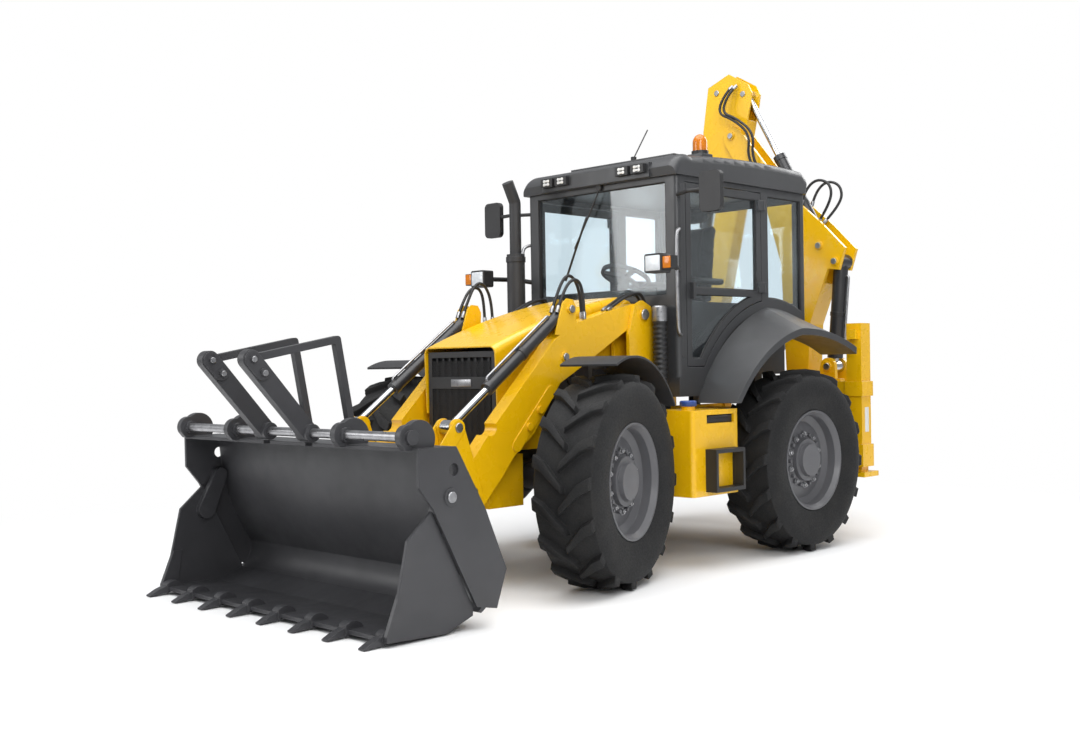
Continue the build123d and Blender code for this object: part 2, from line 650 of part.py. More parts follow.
# Clam: floor, cutting edge with teeth on their adaptors, side plates and hinge arms
CLAM_OUT = BUCKET_HALF - BUCKET_SIDE - SWING_GAP
CLAM_SIDE = [(3840, 676), (4004, 536), (4118, 60), (4118, 30), (3752, 22), (3556, 92), (3556, 128)]
CLAM_FLOOR = [(4140, 50), (4140, 26), (3752, 12), (3556, 80), (3560, 106), (3754, 42)]
END_CUTTER = [(4000, 270), (4062, 270), (4150, 60), (4150, 26), (4040, 26)]
ADAPTOR = [(4030, 46), ((4060, 78), (4150, 70)), (4150, 10), (4100, 26)]
TOOTH = [(4140, 62), (4205, 42), (4266, 12), (4266, 4), (4140, 12)]
with BuildPart() as bucket_clam:
    slab(outline(side_plane(0), CLAM_FLOOR), 2 * CLAM_OUT)
    for hand in (1, -1):
        y = hand * (CLAM_OUT - BUCKET_SIDE / 2)
        slab(outline(side_plane(y), CLAM_SIDE), BUCKET_SIDE)
        arm_y = hand * (CLAM_OUT - BUCKET_SIDE - 20)
        slab(strap(side_plane(arm_y), CLAM_PIVOT, (3830, 520), 46, 60), 40)
        boss = 40 + SWING_GAP - PIN_GAP
        slab(disc(side_plane(hand * (CLAM_OUT - 40 + boss / 2)), CLAM_PIVOT, 46), boss)
        slab(outline(side_plane(hand * (CLAM_OUT - 14)), END_CUTTER), 28)
    for number in range(TOOTH_COUNT):
        y = (number - (TOOTH_COUNT - 1) / 2) * TOOTH_PITCH
        slab(curved(side_plane(y), ADAPTOR[0], ADAPTOR[1:]), 64)
        slab(outline(side_plane(y), TOOTH), 52)
finish(bucket_clam, "bucket_clam")

# Fold-over pallet forks on their shaft: swing arm with its head pins, and the folded tine
FORK_TIP = (4330.0, 1500.0)
TINE_KNEE = (3742.0, 1612.0)
TINE_END = (3640.0, 1060.0)
TINE_R = 22.0
for fork_name, hand in (("fork_left", 1), ("fork_right", -1)):
    y = hand * FORK_Y
    with BuildPart() as fork:
        slab(strap(side_plane(y), FORK_SHAFT, FORK_TIP, 52, 56), FORK_THICK)
        slab(disc(side_plane(y), FORK_SHAFT, 52), FORK_THICK + 50)
        slab(strap(side_plane(y), (4280, 1512), TINE_KNEE, TINE_R), 44)
        slab(strap(side_plane(y), TINE_KNEE, TINE_END, TINE_R), 44)
        for edge in (1, -1):
            cheek = side_plane(y + edge * (FORK_THICK / 2 + 6))
            slab(strap(cheek, (4268, 1430), FORK_TIP, 50), 12)
            for pin in (FORK_TIP, on_line(FORK_TIP, FORK_SHAFT, 95)):
                slab(disc(cheek, pin, 20), 40)
        slab(disc(side_plane(y), FORK_SHAFT, FORK_SHAFT_R + ROD_GAP), 2 * FORK_THICK, mode=Mode.SUBTRACT)
    finish(fork, fork_name)

# Cab frame: hollow shell with floor, pillars and window openings
SILL_LOW_Z = 1200.0
CAB_ARCH = [(830, CAB_FLOOR_Z), ((560, 1640), (80, 1840)), ((-220, 1815), (CAB_REAR_X, 1710))]
CAB_SIDE = [*CAB_ARCH, (CAB_REAR_X, CAB_TOP_Z), (CAB_FRONT_X, CAB_TOP_Z)]
CAB_INNER_REAR = CAB_REAR_X + CAB_WALL
CAB_INNER_FRONT = CAB_FRONT_X - CAB_WALL
CAB_INSIDE = [
    (860, CAB_FLOOR_Z + CAB_WALL),
    ((590, 1695), (80, 1900)),
    ((-210, 1878), (CAB_INNER_REAR, 1790)),
    (CAB_INNER_REAR, CAB_TOP_Z + 10),
    (CAB_INNER_FRONT, CAB_TOP_Z + 10),
]
DOOR_FRONT_X, DOOR_BACK_X, DOOR_HEAD_Z = 1070.0, 130.0, 2740.0
DOOR_FOOT = (DOOR_FRONT_X, 1410)
DOOR = [(868, 1410), ((592, 1702), (DOOR_BACK_X, 1905))]
DOOR += [(DOOR_BACK_X, DOOR_HEAD_Z), (DOOR_FRONT_X, DOOR_HEAD_Z)]
QUARTER_FOOT = (40, 1930)
QUARTER = [((-200, 1908), (-420, 1840)), (-420, 2720), (40, 2720)]
SCREEN_HALF, SCREEN_LOW_Z, SCREEN_TOP_Z = 640.0, 1930.0, 2740.0
REAR_HALF, REAR_LOW_Z, REAR_TOP_Z = 660.0, 1900.0, 2720.0
with BuildPart() as cab_frame:
    slab(curved(side_plane(0), (CAB_FRONT_X, CAB_FLOOR_Z), CAB_SIDE), 2 * CAB_HALF)
    slab(
        curved(side_plane(0), (CAB_INNER_FRONT, CAB_FLOOR_Z + CAB_WALL), CAB_INSIDE),
        2 * (CAB_HALF - CAB_WALL),
        mode=Mode.SUBTRACT,
    )
    fillet(cab_frame.edges().filter_by(Axis.Z).filter_by(lambda e: abs(e.center().Y) > CAB_HALF - 1), 35)
    slab(curved(side_plane(0), DOOR_FOOT, DOOR), 2 * CAB_HALF + 10, mode=Mode.SUBTRACT)
    slab(curved(side_plane(0), QUARTER_FOOT, QUARTER), 2 * CAB_HALF + 10, mode=Mode.SUBTRACT)
    screen = (-SCREEN_HALF, SCREEN_HALF, SCREEN_LOW_Z, SCREEN_TOP_Z)
    block(CAB_FRONT_X - 100, CAB_FRONT_X + 10, *screen, mode=Mode.SUBTRACT)
    rear_x = CAB_REAR_X - 10
    block(rear_x, rear_x + 110, -REAR_HALF, REAR_HALF, REAR_LOW_Z, REAR_TOP_Z, mode=Mode.SUBTRACT)
    block(CAB_REAR_X, 900, -TUB_HALF, TUB_HALF, CAB_FLOOR_Z, 1900)
    tub = (-TUB_HALF + 40, TUB_HALF - 40, CAB_FLOOR_Z + CAB_WALL, 1960)
    block(CAB_INNER_REAR, 1000, *tub, mode=Mode.SUBTRACT)
    block(760, CAB_FRONT_X, -345, 345, RAIL_TOP_Z, CAB_FLOOR_Z)
    block(840, CAB_FRONT_X, -CAB_HALF, CAB_HALF, SILL_LOW_Z, CAB_FLOOR_Z)
    for hand in (1, -1):
        block(-450, -350, hand * 320 - 25, hand * 320 + 25, RAIL_TOP_Z, CAB_FLOOR_Z)
        y0, y1 = sorted((hand * (CAB_HALF - 30), hand * (CAB_HALF + 3)))
        block(1085, 1130, y0, y1, 1480, 2720)
finish(cab_frame, "cab_frame")

# Cab roof: thin shell-like cap with rounded rim, dropped visor and a flat top panel
ROOF_HALF = CAB_HALF + 22
FASCIA_X = 1216.0
BEACON = (740.0, 640.0)
BEACON_R = 60.0
BEACON_Z = 2980.0
with BuildPart() as cab_roof:
    brow = [(1190, 2780), (1212, 2842), ((1140, 2915), (1000, 2935))]
    brow += [((250, 2975), (-440, 2962)), (-528, 2900)]
    slab(curved(side_plane(0), (-505, 2780), brow), 2 * ROOF_HALF)
    side_edges = cab_roof.edges().filter_by(lambda e: abs(e.center().Y) > ROOF_HALF - 1)
    fillet(side_edges.filter_by(lambda e: e.center().Z > 2900), 60)
    side_edges = cab_roof.edges().filter_by(lambda e: abs(e.center().Y) > ROOF_HALF - 1)
    fillet(side_edges.filter_by(lambda e: abs(e.tangent_at(0.5).Z) > 0.6), 45)
    block(1100, FASCIA_X, -540, 540, 2784, 2890)
    block(-380, 900, -520, 520, 2900, 2990)
    block(BEACON[0] - 65, BEACON[0] + 65, BEACON[1] - 65, BEACON[1] + 65, 2900, BEACON_Z)
finish(cab_roof, "cab_roof")

# Fixed glass: windscreen, rear window and the two quarter lights
with BuildPart() as cab_glass:
    block(CAB_FRONT_X - 30, CAB_FRONT_X - 30 + GLASS, *screen)
    block(CAB_REAR_X + 30, CAB_REAR_X + 30 + GLASS, -REAR_HALF, REAR_HALF, REAR_LOW_Z, REAR_TOP_Z)
    for hand in (1, -1):
        slab(curved(side_plane(hand * (CAB_HALF - 20)), QUARTER_FOOT, QUARTER), GLASS)
finish(cab_glass, "cab_glass")

# Doors: frame with a bar between two panes, hinged on the middle pillar
DOOR_GAP = 7.0
DOOR_RAIL = 55.0
DOOR_THICK = 40.0
DOOR_BAR_Z = 1960.0
DOOR_BAR = 50.0
HINGE_X = 106.0
HINGE_Y = CAB_HALF + 16
HINGE_TALL = 80.0
for door_name, hand in (("door_left", 1), ("door_right", -1)):
    middle = side_plane(hand * (CAB_HALF - DOOR_THICK / 2))
    with BuildSketch(middle, mode=Mode.PRIVATE) as leaf:
        add(curved(Plane.XY, DOOR_FOOT, DOOR))
        offset(amount=-DOOR_GAP, kind=Kind.INTERSECTION)
    with BuildSketch(middle, mode=Mode.PRIVATE) as pane:
        add(curved(Plane.XY, DOOR_FOOT, DOOR))
        offset(amount=-DOOR_GAP - DOOR_RAIL, kind=Kind.INTERSECTION)
        with Locations((600, DOOR_BAR_Z)):
            Rectangle(1200, DOOR_BAR, mode=Mode.SUBTRACT)
    with BuildPart() as door:
        slab(leaf.sketch, DOOR_THICK)
        slab(pane.sketch, DOOR_THICK + 4, mode=Mode.SUBTRACT)
        for middle_z in (2010, 2640):
            low, high = middle_z - HINGE_TALL / 2, middle_z + HINGE_TALL / 2
            rod((HINGE_X, hand * HINGE_Y, low), (HINGE_X, hand * HINGE_Y, high), 14)
            y0, y1 = sorted((hand * (CAB_HALF + PIN_GAP), hand * (CAB_HALF + 22)))
            block(HINGE_X, 190, y0, y1, low, high)
            y0, y1 = sorted((hand * (CAB_HALF - 10), hand * (CAB_HALF + 5)))
            block(150, 190, y0, y1, low, high)
        y0, y1 = sorted((hand * CAB_HALF, hand * (CAB_HALF + 36)))
        block(1000, 1030, y0, y1, DOOR_BAR_Z - 60, DOOR_BAR_Z + 60)
    finish(door, door_name)
    with BuildPart() as door_glass:
        slab(pane.sketch, GLASS)
    finish(door_glass, f"{door_name}_glass")

# Rear fenders beside the cab: each falls from the cab wall to a lower outer lip
FENDER_FRONT_X, FENDER_REAR_X, FENDER_LOW_Z = 960.0, -700.0, 1150.0
FENDER_OUT = 330.0
FENDER_WELL = [(FENDER_REAR_X, 1490), ((-220, 1625), (80, 1638)), ((560, 1450), (880, FENDER_LOW_Z))]
FENDER_CREST = [((640, 1568), (80, 1858)), ((-330, 1795), (FENDER_REAR_X, 1590))]
FENDER_LIP = [((560, 1505), (80, 1690)), ((-330, 1655), (FENDER_REAR_X, 1545))]
with BuildPart() as rear_fenders:
    for hand in (1, -1):
        foot = (FENDER_FRONT_X, FENDER_LOW_Z)
        wall = curved(side_plane(hand * CAB_HALF), foot, FENDER_CREST + FENDER_WELL)
        lip_foot = (FENDER_FRONT_X - 25, FENDER_LOW_Z)
        lip = curved(side_plane(hand * (CAB_HALF + FENDER_OUT)), lip_foot, FENDER_LIP + FENDER_WELL)
        loft([wall, lip], ruled=True)
finish(rear_fenders, "rear_fenders")

# Seat and controls inside the cab
SEAT_HALF = 250.0
with BuildPart() as seat:
    block(60, 560, -SEAT_HALF, SEAT_HALF, 1800, 1930)
    fillet(seat.edges().filter_by(Axis.Y).group_by(Axis.X)[-1], 45)
    back = [(20, 1900), ((-40, 2250), (-60, 2530)), ((0, 2585), (50, 2530)), ((110, 2250), (150, 1900))]
    slab(curved(side_plane(0), back[0], back[1:]), 2 * SEAT_HALF - 40)
    head = [((-82, 2640), (-50, 2710)), (20, 2700), ((38, 2630), (20, 2560))]
    slab(curved(side_plane(0), (-60, 2560), head), 260)
    block(160, 460, -180, 180, 1400, 1800)
    for hand in (1, -1):
        block(20, 400, *sorted((hand * (SEAT_HALF - 40), hand * (SEAT_HALF + 70))), 2060, 2110)
finish(seat, "seat")
COLUMN_TOP = (860.0, 0.0, 2100.0)
COLUMN_FOOT = (960.0, 0.0, 1880.0)
with BuildPart() as console:
    block(900, 1095, -180, 180, 1400, 1900)
    hump = [(1095, 1985), ((1010, 1990), (930, 1880)), (930, 1850)]
    slab(curved(side_plane(0), (1095, 1850), hump), 1000)
    rod(COLUMN_FOOT, COLUMN_TOP, 40)
    lean = Vector(*COLUMN_TOP) - Vector(*COLUMN_FOOT)
    hub = Plane(origin=(REAR_AXLE_X + COLUMN_TOP[0], 0, COLUMN_TOP[2]), x_dir=(0, 1, 0), z_dir=lean)
    with BuildSketch(hub, mode=Mode.PRIVATE) as wheel_ring:
        Circle(195)
        Circle(168, mode=Mode.SUBTRACT)
        for spoke in (0, 120, 240):
            with PolarLocations(90, 1, start_angle=spoke + 90):
                Rectangle(180, 34)
    extrude(wheel_ring.sketch, amount=26)
finish(console, "console")

# Exhaust stack on the right: silencer, pipe and curved tip
STACK = (1424.0, -630.0)
with BuildPart() as exhaust:
    pipe([(*STACK, 1250), (*STACK, 2700), (STACK[0] + 76, STACK[1], 2850)], 60, 45)
    rod((*STACK, 1500), (*STACK, 2300), 70)
    for height in (1520, 2240):
        rod((*STACK, height), (*STACK, height + 40), 76)
    block(1380, 1440, -600, -565, 1300, 1400)
    add(main_frame.part, mode=Mode.SUBTRACT)
finish(exhaust, "exhaust")

# Lamps: headlamps with indicators on their posts, roof lamps, beacon and tail lamps
with BuildPart() as lamps:
    for hand in (1, -1):
        y0, y1 = sorted((hand * 805, hand * 955))
        block(1500, 1600, y0, y1, 2055, 2185)
    fillet(lamps.edges().filter_by(Axis.X), 16)
    for hand in (1, -1):
        y0, y1 = sorted((hand * 950, hand * 1030))
        block(1520, 1590, y0, y1, 2075, 2165)
        pipe([(1140, hand * 735, 2100), (1250, hand * 800, 2120), (1520, hand * 870, 2120)], 20, 18)
        for y in (307, 456):
            block(FASCIA_X, FASCIA_X + 36, hand * y - 60, hand * y + 60, 2815, 2880)
            block(-570, -500, hand * (y + 100) - 55, hand * (y + 100) + 55, 2815, 2890)
        block(FRAME_REAR_X - 32, FRAME_REAR_X, *sorted((hand * 960, hand * 1045)), 900, 1080)
    rod((*BEACON, BEACON_Z), (*BEACON, BEACON_Z + 25), BEACON_R + 3)
    rod((*BEACON, BEACON_Z + 25), (*BEACON, BEACON_Z + 95), BEACON_R - 8)
    with Locations((REAR_AXLE_X + BEACON[0], BEACON[1], BEACON_Z + 95)):
        Sphere(BEACON_R - 8, arc_size1=0)
    add(cab_roof.part, mode=Mode.SUBTRACT)
    add(cab_frame.part, mode=Mode.SUBTRACT)
finish(lamps, "lamps")
with BuildPart() as mirrors:
    for hand in (1, -1):
        y0, y1 = sorted((hand * 1000, hand * 1180))
        block(1195, 1235, y0, y1, 2480, 2760)
    fillet(mirrors.edges().filter_by(Axis.X), 40)
    for hand in (1, -1):
        pipe([(1140, hand * 735, 2640), (1230, hand * 900, 2640), (1215, hand * 1010, 2640)], 30, 14)
    rod((860, 100, 2990), (860, 100, 3020), 22)
    rod((860, 100, 3010), (690, 100, 3247), 5)
    add(cab_frame.part, mode=Mode.SUBTRACT)
    add(cab_roof.part, mode=Mode.SUBTRACT)
finish(mirrors, "mirrors")

# Rear frame: two rails and the housings of the legs, each with its valve block
HOUSING_WALL = 18.0
HOUSING_TOP_Z = 1740.0
with BuildPart() as rear_frame:
    block(FRAME_REAR_X, FRAME_FRONT_X, -LEG_INNER_Y, LEG_INNER_Y, 1150, 1270)
    block(FRAME_REAR_X, FRAME_FRONT_X, -LEG_INNER_Y, LEG_INNER_Y, 580, 770)
    for hand in (1, -1):
        y0, y1 = sorted((hand * LEG_INNER_Y, hand * LEG_OUTER_Y))
        block(FRAME_REAR_X, FRAME_FRONT_X, y0, y1, 580, HOUSING_TOP_Z)
        for z0, z1 in ((1150, 1270), (580, 760)):
            block(FRAME_REAR_X - 14, FRAME_FRONT_X + 14, y0 - 14, y1 + 14, z0, z1)
        inner = (y0 + HOUSING_WALL, y1 - HOUSING_WALL, 570, HOUSING_TOP_Z - 20)
        block(FRAME_REAR_X + HOUSING_WALL, FRAME_FRONT_X - HOUSING_WALL, *inner, mode=Mode.SUBTRACT)
        valve_y = hand * (LEG_INNER_Y + 67)
        block(FRAME_FRONT_X, FRAME_FRONT_X + 45, valve_y - 40, valve_y + 40, 1610, 1690)
        block(FRAME_FRONT_X - 100, FRAME_FRONT_X, hand * 320 - 40, hand * 320 + 40, 700, 1200)
finish(rear_frame, "rear_frame")
for leg_name, hand in (("leg_left", 1), ("leg_right", -1)):
    y0, y1 = sorted((hand * LEG_INNER_Y, hand * LEG_OUTER_Y))
    inset = HOUSING_WALL + PIN_GAP
    with BuildPart() as leg:
        block(FRAME_REAR_X + inset, FRAME_FRONT_X - inset, y0 + inset, y1 - inset, 540, 1700)
        block(FRAME_REAR_X - 40, FRAME_FRONT_X + 40, y0 - 40, y1 + 40, 500, 540)
    finish(leg, leg_name)

# Carriage: plate that slides along the rear rails, with two lugs for the post
CARRIAGE_FRONT_X = FRAME_REAR_X - 14 - PIN_GAP
LUG_R = 110.0
POST_PIN_R = 60.0
with BuildPart() as carriage:
    block(CARRIAGE_FRONT_X - 60, CARRIAGE_FRONT_X, POST_Y - CARRIAGE_HALF, POST_Y + CARRIAGE_HALF, 560, 1290)
    for z0, z1 in ((1130, 1290), (560, 790)):
        y0, y1 = POST_Y - CARRIAGE_HALF, POST_Y + CARRIAGE_HALF
        block(CARRIAGE_FRONT_X, FRAME_REAR_X - PIN_GAP, y0, y1, z0, z1)
    for z0, z1 in ((600, 680), (1100, 1180)):
        block(HOE_X, CARRIAGE_FRONT_X - 30, POST_Y - LUG_R, POST_Y + LUG_R, z0, z1)
        rod((HOE_X, POST_Y, z0), (HOE_X, POST_Y, z1), LUG_R)
        rod((HOE_X, POST_Y, z0 - 5), (HOE_X, POST_Y, z1 + 5), POST_PIN_R + ROD_GAP, mode=Mode.SUBTRACT)
finish(carriage, "carriage")

# Swing post: column between the lugs, jaws for the boom foot and head for the ram
JAW_IN = BOOM_WIDTH / 2 + PIN_GAP
with BuildPart() as swing_post:
    rod((HOE_X, POST_Y, 590), (HOE_X, POST_Y, 1190), POST_PIN_R)
    rod((HOE_X, POST_Y, 680 + PIN_GAP), (HOE_X, POST_Y, 1100 - PIN_GAP), 100)
    rod((HOE_X, POST_Y, 1180 + PIN_GAP), (HOE_X, POST_Y, 1200), 100)
    jaw = [(480, 700), (300, 700), (140, 940), (130, 1040), (190, 1092), (480, 1092)]
    for edge in (1, -1):
        plane = cross_plane(HOE_X + edge * (JAW_IN + 20))
        slab(outline(plane, jaw), 40)
        slab(disc(cross_plane(HOE_X + edge * (JAW_IN + 48)), BOOM_FOOT, 48), 16)
    block(HOE_X - JAW_IN - 20, HOE_X + JAW_IN + 20, 372, 480, 700, 1092)
    head = [(400, 1190), (450, 1400), ((520, 1465), (590, 1400)), (600, 1190)]
    for edge in (1, -1):
        slab(curved(cross_plane(HOE_X + edge * (BOOM_SLOT / 2 + 20)), head[0], head[1:]), 40)
        slab(disc(cross_plane(HOE_X + edge * (BOOM_SLOT / 2 + 46)), BOOM_ROD_PIN, 40), 12)
    block(HOE_X - BOOM_SLOT / 2 - 40, HOE_X + BOOM_SLOT / 2 + 40, 380, 600, 1181, 1200)
finish(swing_post, "swing_post")

# Boom: cranked box with an open channel for the rams
BOOM = [
    (120, 1010),
    (215, 915),
    (310, 1010),
    (345, 1757),
    (530, 2230),
    (640, 2215),
    (700, 2400),
    (475, 2629),
    (217, 2856),
    (-100, 3215),
    (-372, 3560),
    (-457, 3600),
    (-550, 3530),
    (-530, 3440),
    (-330, 3120),
    (-80, 2780),
    (60, 2300),
]
BOOM_CHANNEL = [
    (760, 2000),
    (420, 2130),
    (330, 2360),
    (310, 2520),
    (60, 2830),
    (-190, 3090),
    (-290, 3060),
    (-640, 3060),
    (-640, 3700),
    (-200, 3700),
    (300, 3100),
    (900, 2600),
]
with BuildPart() as boom:
    slab(outline(cross_plane(HOE_X), BOOM), BOOM_WIDTH)
    slab(outline(cross_plane(HOE_X), BOOM_CHANNEL), BOOM_SLOT, mode=Mode.SUBTRACT)
    for pin in (DIPPER_PIVOT, DIPPER_BARREL_PIN, BOOM_BARREL_PIN):
        for edge in (1, -1):
            slab(disc(cross_plane(HOE_X + edge * (BOOM_WIDTH / 2 + 4)), pin, 36), 20)
finish(boom, "boom")


def hoe_ram(name, base, tip, barrel_r, rod_r, barrel_length, inside, bore_end, base_width, tip_width):
    """One ram of the hoe: barrel from its base pin, rod to its tip pin."""
    eye_r = barrel_r + 4
    with BuildPart() as barrel:
        slab(disc(cross_plane(HOE_X), base, eye_r), base_width)
        mouth = hoe_point(on_line(base, tip, barrel_length))
        rod(hoe_point(on_line(base, tip, eye_r * 0.5)), mouth, barrel_r)
        rod(hoe_point(on_line(base, tip, barrel_length - 50)), mouth, barrel_r + 4)
        bore = hoe_point(on_line(base, tip, bore_end))
        rod(bore, hoe_point(on_line(base, tip, barrel_length + 20)), rod_r + ROD_GAP, mode=Mode.SUBTRACT)
    finish(barrel, f"{name}_barrel")
    with BuildPart() as ram_rod:
        rod(hoe_point(on_line(base, tip, inside)), hoe_point(tip), rod_r)
        slab(disc(cross_plane(HOE_X), tip, rod_r + 20), tip_width)
    finish(ram_rod, f"{name}_rod")


hoe_ram("boom", BOOM_BARREL_PIN, BOOM_ROD_PIN, 62, 34, 830, 120, 100, DIPPER_WIDTH, DIPPER_WIDTH)
hoe_ram("dipper", DIPPER_BARREL_PIN, DIPPER_ROD_PIN, 53, 30, 960, 760, 130, DIPPER_WIDTH, DIPPER_SLOT - 1)
hoe_ram("hoe_bucket", HOE_BARREL_PIN, HOE_LEVER_PIN, 52, 28, 1450, 1200, 560, DIPPER_SLOT - 1, DIPPER_WIDTH)

# Dipper: box beam with a slotted head for the two rams
DIPPER = [
    (-250, 3880),
    (-290, 3960),
    (-500, 4085),
    (-733, 3996),
    (-765, 3800),
    (-798, 3585),
    (-770, 3400),
    (-650, 2950),
    (-835, 2020),
    (-875, 1790),
    (-850, 1730),
    (-790, 1705),
    (-730, 1730),
    (-705, 1790),
    (-607, 2022),
    (-400, 2931),
    (-345, 3300),
    (-330, 3500),
    (-262, 3800),
]
DIPPER_HEAD = [(-150, 3640), (-150, 4200), (-900, 4200), (-900, 2900), (-640, 2900), (-590, 3640)]
with BuildPart() as dipper:
    slab(outline(cross_plane(HOE_X), DIPPER), DIPPER_WIDTH)
    slab(outline(cross_plane(HOE_X), DIPPER_HEAD), DIPPER_SLOT, mode=Mode.SUBTRACT)
finish(dipper, "dipper")

# Bucket levers and link of the hoe
HOE_PLATE = 20.0
LEVER_X = DIPPER_WIDTH / 2 + PIN_GAP + HOE_PLATE / 2
LINK_X = LEVER_X + HOE_PLATE + PIN_GAP
with BuildPart() as hoe_levers:
    for edge in (1, -1):
        slab(strap(cross_plane(HOE_X + edge * LEVER_X), HOE_LEVER_PIVOT, HOE_LEVER_PIN, 60, 52), HOE_PLATE)
finish(hoe_levers, "hoe_levers")
with BuildPart() as hoe_link:
    for edge in (1, -1):
        slab(strap(cross_plane(HOE_X + edge * LINK_X), HOE_LEVER_PIN, HOE_BUCKET_EAR, 50), HOE_PLATE)
finish(hoe_link, "hoe_link")

# Hoe bucket, curled against the dipper
CURL = radians(5)


def bucket_point(along, out):
    """Point of the hoe bucket: along the line from its pivot to the teeth, and across it."""
    y = HOE_BUCKET_PIVOT[0] + along * cos(CURL) - out * sin(CURL)
    z = HOE_BUCKET_PIVOT[1] + along * sin(CURL) + out * cos(CURL)
    return (y, z)


SHELL = [
    (60, -95),
    (-60, -170),
    (-125, -300),
    (-90, -430),
    (60, -520),
    (280, -510),
    (500, -400),
    (650, -220),
    (740, 0),
    (690, -40),
]
HOLLOW = [
    (90, -60),
    (-45, -190),
    (-98, -300),
    (-68, -414),
    (68, -495),
    (272, -485),
    (484, -380),
    (630, -205),
    (720, 20),
    (600, 60),
]
EAR = [(-85, 20), (0, 85), (85, 20), (130, -140), (20, -420), (-180, -320), (-262, -253), (-240, -205)]
HOE_TOOTH = [(600, -255), (700, -90), (800, 40), (735, -10), (640, -180)]
with BuildPart() as hoe_bucket:
    plane = cross_plane(HOE_X)
    slab(outline(plane, [bucket_point(*p) for p in SHELL]), HOE_BUCKET_WIDTH)
    slab(outline(plane, [bucket_point(*p) for p in HOLLOW]), HOE_BUCKET_WIDTH - 40, mode=Mode.SUBTRACT)
    for edge in (1, -1):
        slab(outline(cross_plane(HOE_X + edge * LEVER_X), [bucket_point(*p) for p in EAR]), HOE_PLATE)
        slab(disc(cross_plane(HOE_X + edge * (LEVER_X + HOE_PLATE)), HOE_BUCKET_PIVOT, 45), HOE_PLATE)
    for number in range(5):
        tooth_plane = cross_plane(HOE_X + (number - 2) * 135)
        slab(outline(tooth_plane, [bucket_point(*p) for p in HOE_TOOTH]), 50)
finish(hoe_bucket, "hoe_bucket")
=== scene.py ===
# %% [markdown]
# # A backhoe loader in a white studio
# The machine's solids come ready made from its CAD model: frame, cab, wheels,
# loader and hoe. Here they get their paint, rubber, glass and chrome, and the
# small things that are too fine for CAD: seals, pins, hoses and meshes.
# The first cell loads the solids and keeps the size of their box, because
# what is added later should not make the machine larger.

# %% Load the machine
import json
import math

import bmesh
import bpy
from mathutils import Matrix, Vector


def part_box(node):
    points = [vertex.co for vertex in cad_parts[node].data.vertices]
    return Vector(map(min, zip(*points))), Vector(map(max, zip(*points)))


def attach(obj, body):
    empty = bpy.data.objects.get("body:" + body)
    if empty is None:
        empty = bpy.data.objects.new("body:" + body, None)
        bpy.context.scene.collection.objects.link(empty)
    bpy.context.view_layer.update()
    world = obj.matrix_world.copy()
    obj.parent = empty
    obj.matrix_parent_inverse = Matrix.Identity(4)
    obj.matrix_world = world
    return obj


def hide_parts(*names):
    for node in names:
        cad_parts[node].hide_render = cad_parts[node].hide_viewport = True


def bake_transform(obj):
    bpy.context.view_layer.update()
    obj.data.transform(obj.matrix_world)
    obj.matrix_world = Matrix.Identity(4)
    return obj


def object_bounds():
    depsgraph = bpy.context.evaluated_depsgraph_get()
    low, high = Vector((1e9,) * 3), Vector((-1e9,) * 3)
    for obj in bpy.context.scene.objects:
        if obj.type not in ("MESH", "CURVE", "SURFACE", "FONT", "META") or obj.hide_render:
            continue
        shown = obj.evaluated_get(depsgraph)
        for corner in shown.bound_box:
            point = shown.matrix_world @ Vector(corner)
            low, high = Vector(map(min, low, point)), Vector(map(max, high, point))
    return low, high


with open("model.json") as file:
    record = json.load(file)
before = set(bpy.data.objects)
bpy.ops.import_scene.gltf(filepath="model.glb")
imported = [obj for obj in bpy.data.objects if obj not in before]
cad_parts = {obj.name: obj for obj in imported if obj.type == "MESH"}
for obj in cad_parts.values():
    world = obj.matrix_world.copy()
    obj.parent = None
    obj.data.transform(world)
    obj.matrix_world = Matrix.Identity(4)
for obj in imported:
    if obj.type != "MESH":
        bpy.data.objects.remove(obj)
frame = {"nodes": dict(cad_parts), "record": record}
nodes_of_machine = frame["nodes"]
cad_low, cad_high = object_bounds()
size_of_box = cad_high - cad_low
print("machine box, metres:", [round(side, 3) for side in size_of_box])

# %% [markdown]
# ## The camera
# The photograph was taken from the machine's left front corner, at about the
# height of the hood, with a normal lens and held a little askew. A camera needs a
# place, three directions and a focal length. Writing the three directions as the
# columns of a matrix is plainer than guessing at Euler angles.

# %% Camera at the photograph's viewing angle
IMAGE_WIDTH = 1080
FOCAL_PIXELS = 1216.5
SENSOR_MM = 36.0
CAMERA_AHEAD_OF_REAR_AXLE = 7.996
CAMERA_LEFT = 6.129
CAMERA_HEIGHT = 1.445
CAMERA_YAW = math.radians(-135.25)
CAMERA_PITCH = math.radians(-0.512)
CAMERA_ROLL = math.radians(-0.902)


def middle_of(node):
    """Centre of a CAD node's box."""
    low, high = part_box(node)
    return (low + high) / 2


rear_axle_x = middle_of("rear_axle").x
look = Vector((
    math.cos(CAMERA_PITCH) * math.cos(CAMERA_YAW),
    math.cos(CAMERA_PITCH) * math.sin(CAMERA_YAW),
    math.sin(CAMERA_PITCH),
))
level_right = look.cross(Vector((0, 0, 1))).normalized()
level_up = level_right.cross(look)
right = math.cos(CAMERA_ROLL) * level_right + math.sin(CAMERA_ROLL) * level_up
up = math.cos(CAMERA_ROLL) * level_up - math.sin(CAMERA_ROLL) * level_right
camera_data = bpy.data.cameras.new("studio_camera")
camera_data.sensor_width = SENSOR_MM
camera_data.lens = SENSOR_MM * FOCAL_PIXELS / IMAGE_WIDTH
camera = bpy.data.objects.new("studio_camera", camera_data)
bpy.context.scene.collection.objects.link(camera)
turn = Matrix((right, up, -look)).transposed().to_4x4()
place = Vector((rear_axle_x + CAMERA_AHEAD_OF_REAR_AXLE, CAMERA_LEFT, CAMERA_HEIGHT))
camera.matrix_world = Matrix.Translation(place) @ turn
